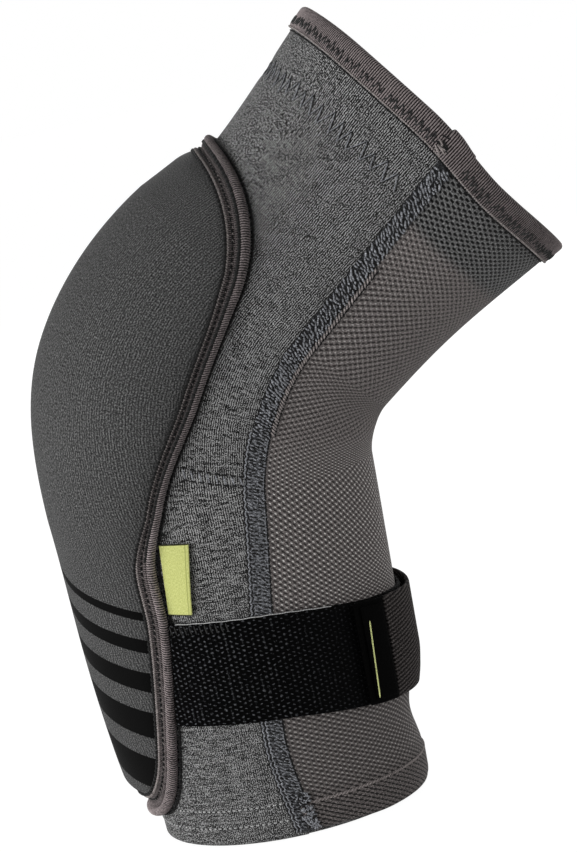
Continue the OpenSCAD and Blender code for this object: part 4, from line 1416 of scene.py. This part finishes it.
def hook_patch():
    """A patch with rows of small hooks towards the loop band."""
    shape = Shape()
    edge = as_turn(HOOK_MARGIN, STRAP_FRONT)
    first, last = -TAB_TURN - edge, TAB_END_TURN + edge

    def base(turn):
        return tab_rise(turn) - LAYER_GAP - HOOK_T / 2

    band(shape, level(first), level(last), 20, HOOK_MARGIN, base, HOOK_T / 2)
    up, across = grid(HOOK_ROWS, HOOK_COLS)
    turn = mix(first - HOOK_EDGE, last + HOOK_EDGE, across).reshape(-1, 1)
    way = HOOK_SPAN * (up - 0.5).reshape(-1, 1) + strap_mid(turn)
    step = even_steps(6)
    shank = base(turn) + 0.05 - 0.42 * np.sin(np.minimum(1, step * 1.25) * np.pi / 2)
    crook = way + 0.5 * np.maximum(0, step - 0.4) ** 1.5
    points = skin(crook, turn, shank)
    shape.tubes(points, np.broadcast_to([0, 1, 0], points.shape), 0.32)
    return shape.make("hook_patch_moulding", HOOK)


LIME_LINE, LIME_SLANT = 1.6, -0.06


def tab_label():
    """A bare patch with a thin yellow-green line along its outer edge."""
    shape = Shape()
    edge = as_turn(TAB_LABEL_MARGIN, STRAP_FRONT)

    def base(turn):
        return tab_rise(turn) + STRAP_T + LAYER_GAP

    first, last = level(-TAB_TURN - edge), level(TAB_END_TURN + edge)
    band(shape, first, last, 30, TAB_LABEL_MARGIN, base, TAB_LABEL_T)
    along = np.linspace(-14, 10, 40)[None]
    turn = TAB_END_TURN + edge + as_turn(LIME_LINE - LIME_SLANT * along, STRAP_FRONT)
    threads(shape, strap_mid(turn) + along, turn, base(turn) + TAB_LABEL_T, 0.5, 1)
    return shape.make("tab_label_patch", PATCH, LIME_THREAD)


# The free edge hangs a little, and is drawn in at its foot
LABEL_DROP, LABEL_FOOT, LABEL_HEAD = 0.8, 0.78, 0.93
LABEL_ROUND, LABEL_WAVE, LABEL_WAVE_H = 0.35, 4.5, 0.25


def side_label():
    """A folded ribbon, sewn in beside the piping, its folded edge off the cloth."""
    shape = Shape()
    bottom = STRAP_BACK + STRAP_W / 2 + LABEL_SPACE
    u = np.linspace(0, 1, 60)[:, None]
    v = edge_spread(26, LABEL_W, LABEL_ROUND)[None]
    way = bottom + LABEL_LEN * u + LABEL_DROP * (v - 1) * (u - 1) - LABEL_DROP * v * u
    sewn = mix(piping_turn(bottom), piping_turn(bottom + LABEL_LEN), u)
    turn = -sewn + as_turn(LABEL_W * mix(LABEL_FOOT, LABEL_HEAD, u) * v, way)
    middle = FABRIC_T + MOVE_GAP + LABEL_T / 2 + LABEL_LIFT * v + LABEL_WAVE_H * v * np.sin(u * LABEL_WAVE)
    half = LABEL_T / 2 * mix(0.3, 1, rounded(LABEL_W * (1 - v), LABEL_ROUND))
    cloth = pairs(LABEL_W * v, LABEL_LEN * u)
    shape.slab(skin(way, turn, middle + half), skin(way, turn, middle - half), cloth)
    return shape.make("side_label_ribbon", LABEL)


# Every piece with its body or the bend across the elbow, and the solids that it stands for

LOWER, UPPER = "forearm_sleeve", "upper_sleeve"


def dress(piece, body, nodes):
    if nodes:
        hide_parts(*nodes)
    if body is None:
        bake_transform(piece)
    else:
        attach(piece, body)
    return piece


lower_knit_cloth = dress(lower_knit(), None, ["lower_knit_panel"])
upper_knit_cloth = dress(upper_knit(), None, ["upper_knit_panel"])
mesh_cloth = dress(mesh_panel(), None, ["mesh_panel"])
dress(flatlock("near_flatlock_stitching", -1), None, ["near_flatlock_seam"])
dress(flatlock("far_flatlock_stitching", 1), None, ["far_flatlock_seam"])
dress(cross_seam("near_cross_stitching", -1), None, ["near_cross_seam"])
dress(cross_seam("far_cross_stitching", 1), None, ["far_cross_seam"])
dress(hem_facing(), LOWER, ["hem_facing"])
dress(hem_stitches(), LOWER, [])
dress(cuff_binding(), UPPER, ["cuff_binding"])
dress(cuff_join(), UPPER, ["cuff_binding_join"])
dress(cuff_gripper(), UPPER, ["cuff_gripper"])
cover = dress(pad_cover(), None, ["pad_cover"])
foam = dress(pad_foam(), None, ["pad_foam"])
dress(pad_binding(), None, ["pad_binding"])
dress(pad_piping(), None, ["pad_piping"])
dress(side_label(), "label_flap", ["side_label"])
dress(loop_band(), LOWER, ["strap_loop_band"])
dress(elastic_band(), "strap_band", ["strap_elastic_band"])
dress(tab(), "pull_tab", ["strap_tab"])
dress(hook_patch(), "pull_tab", ["hook_patch"])
dress(tab_label(), "pull_tab", ["tab_label"])


# Camera, at the photograph's viewing angle

PHOTO_H = 852
CAMERA_TILT, CAMERA_RISE, CAMERA_AWAY, CAMERA_FOCUS = 12.2, 8.0, 800, 2580.6
AIM_X, AIM_Z = -2.9, 119.9
SENSOR = 36


def upright(x, y, z):
    """A place in the photograph's upright frame, in which the forearm leans."""
    lean_by = math.radians(CAMERA_TILT)
    along, up = math.cos(lean_by), math.sin(lean_by)
    return Vector((x * along + z * up, y, z * along - x * up))


def add_camera():
    rise = math.radians(CAMERA_RISE)
    back = upright(0, -math.cos(rise), math.sin(rise))
    right = upright(1, 0, 0)
    camera = bpy.data.cameras.new("camera")
    camera.sensor_width = SENSOR
    camera.lens = CAMERA_FOCUS / PHOTO_H * SENSOR
    thing = bpy.data.objects.new("camera", camera)
    turned = Matrix((right, back.cross(right), back)).transposed().to_4x4()
    place = upright(AIM_X, 0, AIM_Z) + back * CAMERA_AWAY
    thing.matrix_world = Matrix.Translation(place * MM) @ turned
    bpy.context.scene.collection.objects.link(thing)
    bpy.context.scene.camera = thing


# Soft round lamps, with their places in metres and their watts
LAMP_SIZE, LAMP_AIM = 1.2, Vector((0.02, 0, 0.12))
LAMPS = {
    "key": ((-1.9, -0.7, 0.3), 25),
    "front": ((-1.2, -1.5, 0.15), 24),
    "side": ((1.7, -0.3, 0.2), 12),
    "back": ((0.5, 1.7, 0.8), 14),
}


def add_lamp(name, place, power):
    lamp = bpy.data.lights.new(name, "AREA")
    lamp.shape, lamp.size, lamp.energy = "DISK", LAMP_SIZE, power
    thing = bpy.data.objects.new(name, lamp)
    thing.location = place
    thing.rotation_euler = (Vector(place) - LAMP_AIM).to_track_quat("Z", "Y").to_euler()
    bpy.context.scene.collection.objects.link(thing)


WHITE, FLOOR_GREY = grey(1.0), grey(0.8)
WORLD_LIGHT = 0.16
SHADOW_SHARE = 0.2
FLOOR_HALF, FLOOR_Z, FLOOR_WHITE = 40.0, -0.0004, 1.2


def seen_directly(nodes):
    """1 where the camera, a reflection or a clear surface sees the surface."""
    path = nodes.add("LightPath").outputs
    seen = nodes.math("MAXIMUM", path["Is Camera Ray"], path["Is Glossy Ray"])
    return nodes.math("MAXIMUM", seen, path["Is Transmission Ray"])


def mix_shaders(nodes, share, first, second, output):
    """Shows the second shader by a share and the first by the rest."""
    both = nodes.add("MixShader", {0: share, 1: first.outputs[0], 2: second.outputs[0]})
    nodes.feed(nodes.tree.nodes[output].inputs["Surface"], both.outputs[0])


def add_world():
    """Even light, and white past the floor's edge."""
    world = bpy.data.worlds.new("studio")
    bpy.context.scene.world = world
    nodes = Nodes(world)
    light = nodes.tree.nodes["Background"]
    nodes.feed(light.inputs["Color"], WHITE)
    nodes.feed(light.inputs["Strength"], WORLD_LIGHT)
    white = nodes.add("Background", {"Color": WHITE, "Strength": 1.0})
    mix_shaders(nodes, seen_directly(nodes), light, white, "World Output")


def add_floor():
    """A pale floor at the hem, white to the eye, with a soft shadow."""
    mesh = bpy.data.meshes.new("floor")
    corners = ((-1, -1), (1, -1), (1, 1), (-1, 1))
    mesh.from_pydata([(x * FLOOR_HALF, y * FLOOR_HALF, FLOOR_Z) for x, y in corners], [], [(0, 1, 2, 3)])
    f = Finish("floor", {"Base Color": FLOOR_GREY, "Roughness": 0.9})
    white = f.add("Emission", {"Strength": FLOOR_WHITE})
    mix_shaders(f, f.times(seen_directly(f), 1 - SHADOW_SHARE), f.shader, white, "Material Output")
    mesh.materials.append(f.material)
    floor = bpy.data.objects.new("floor", mesh)
    bpy.context.scene.collection.objects.link(floor)


add_camera()
add_world()
add_floor()
for name, (place, power) in LAMPS.items():
    add_lamp(name, place, power)


bpy.context.scene.view_settings.view_transform = "Standard"
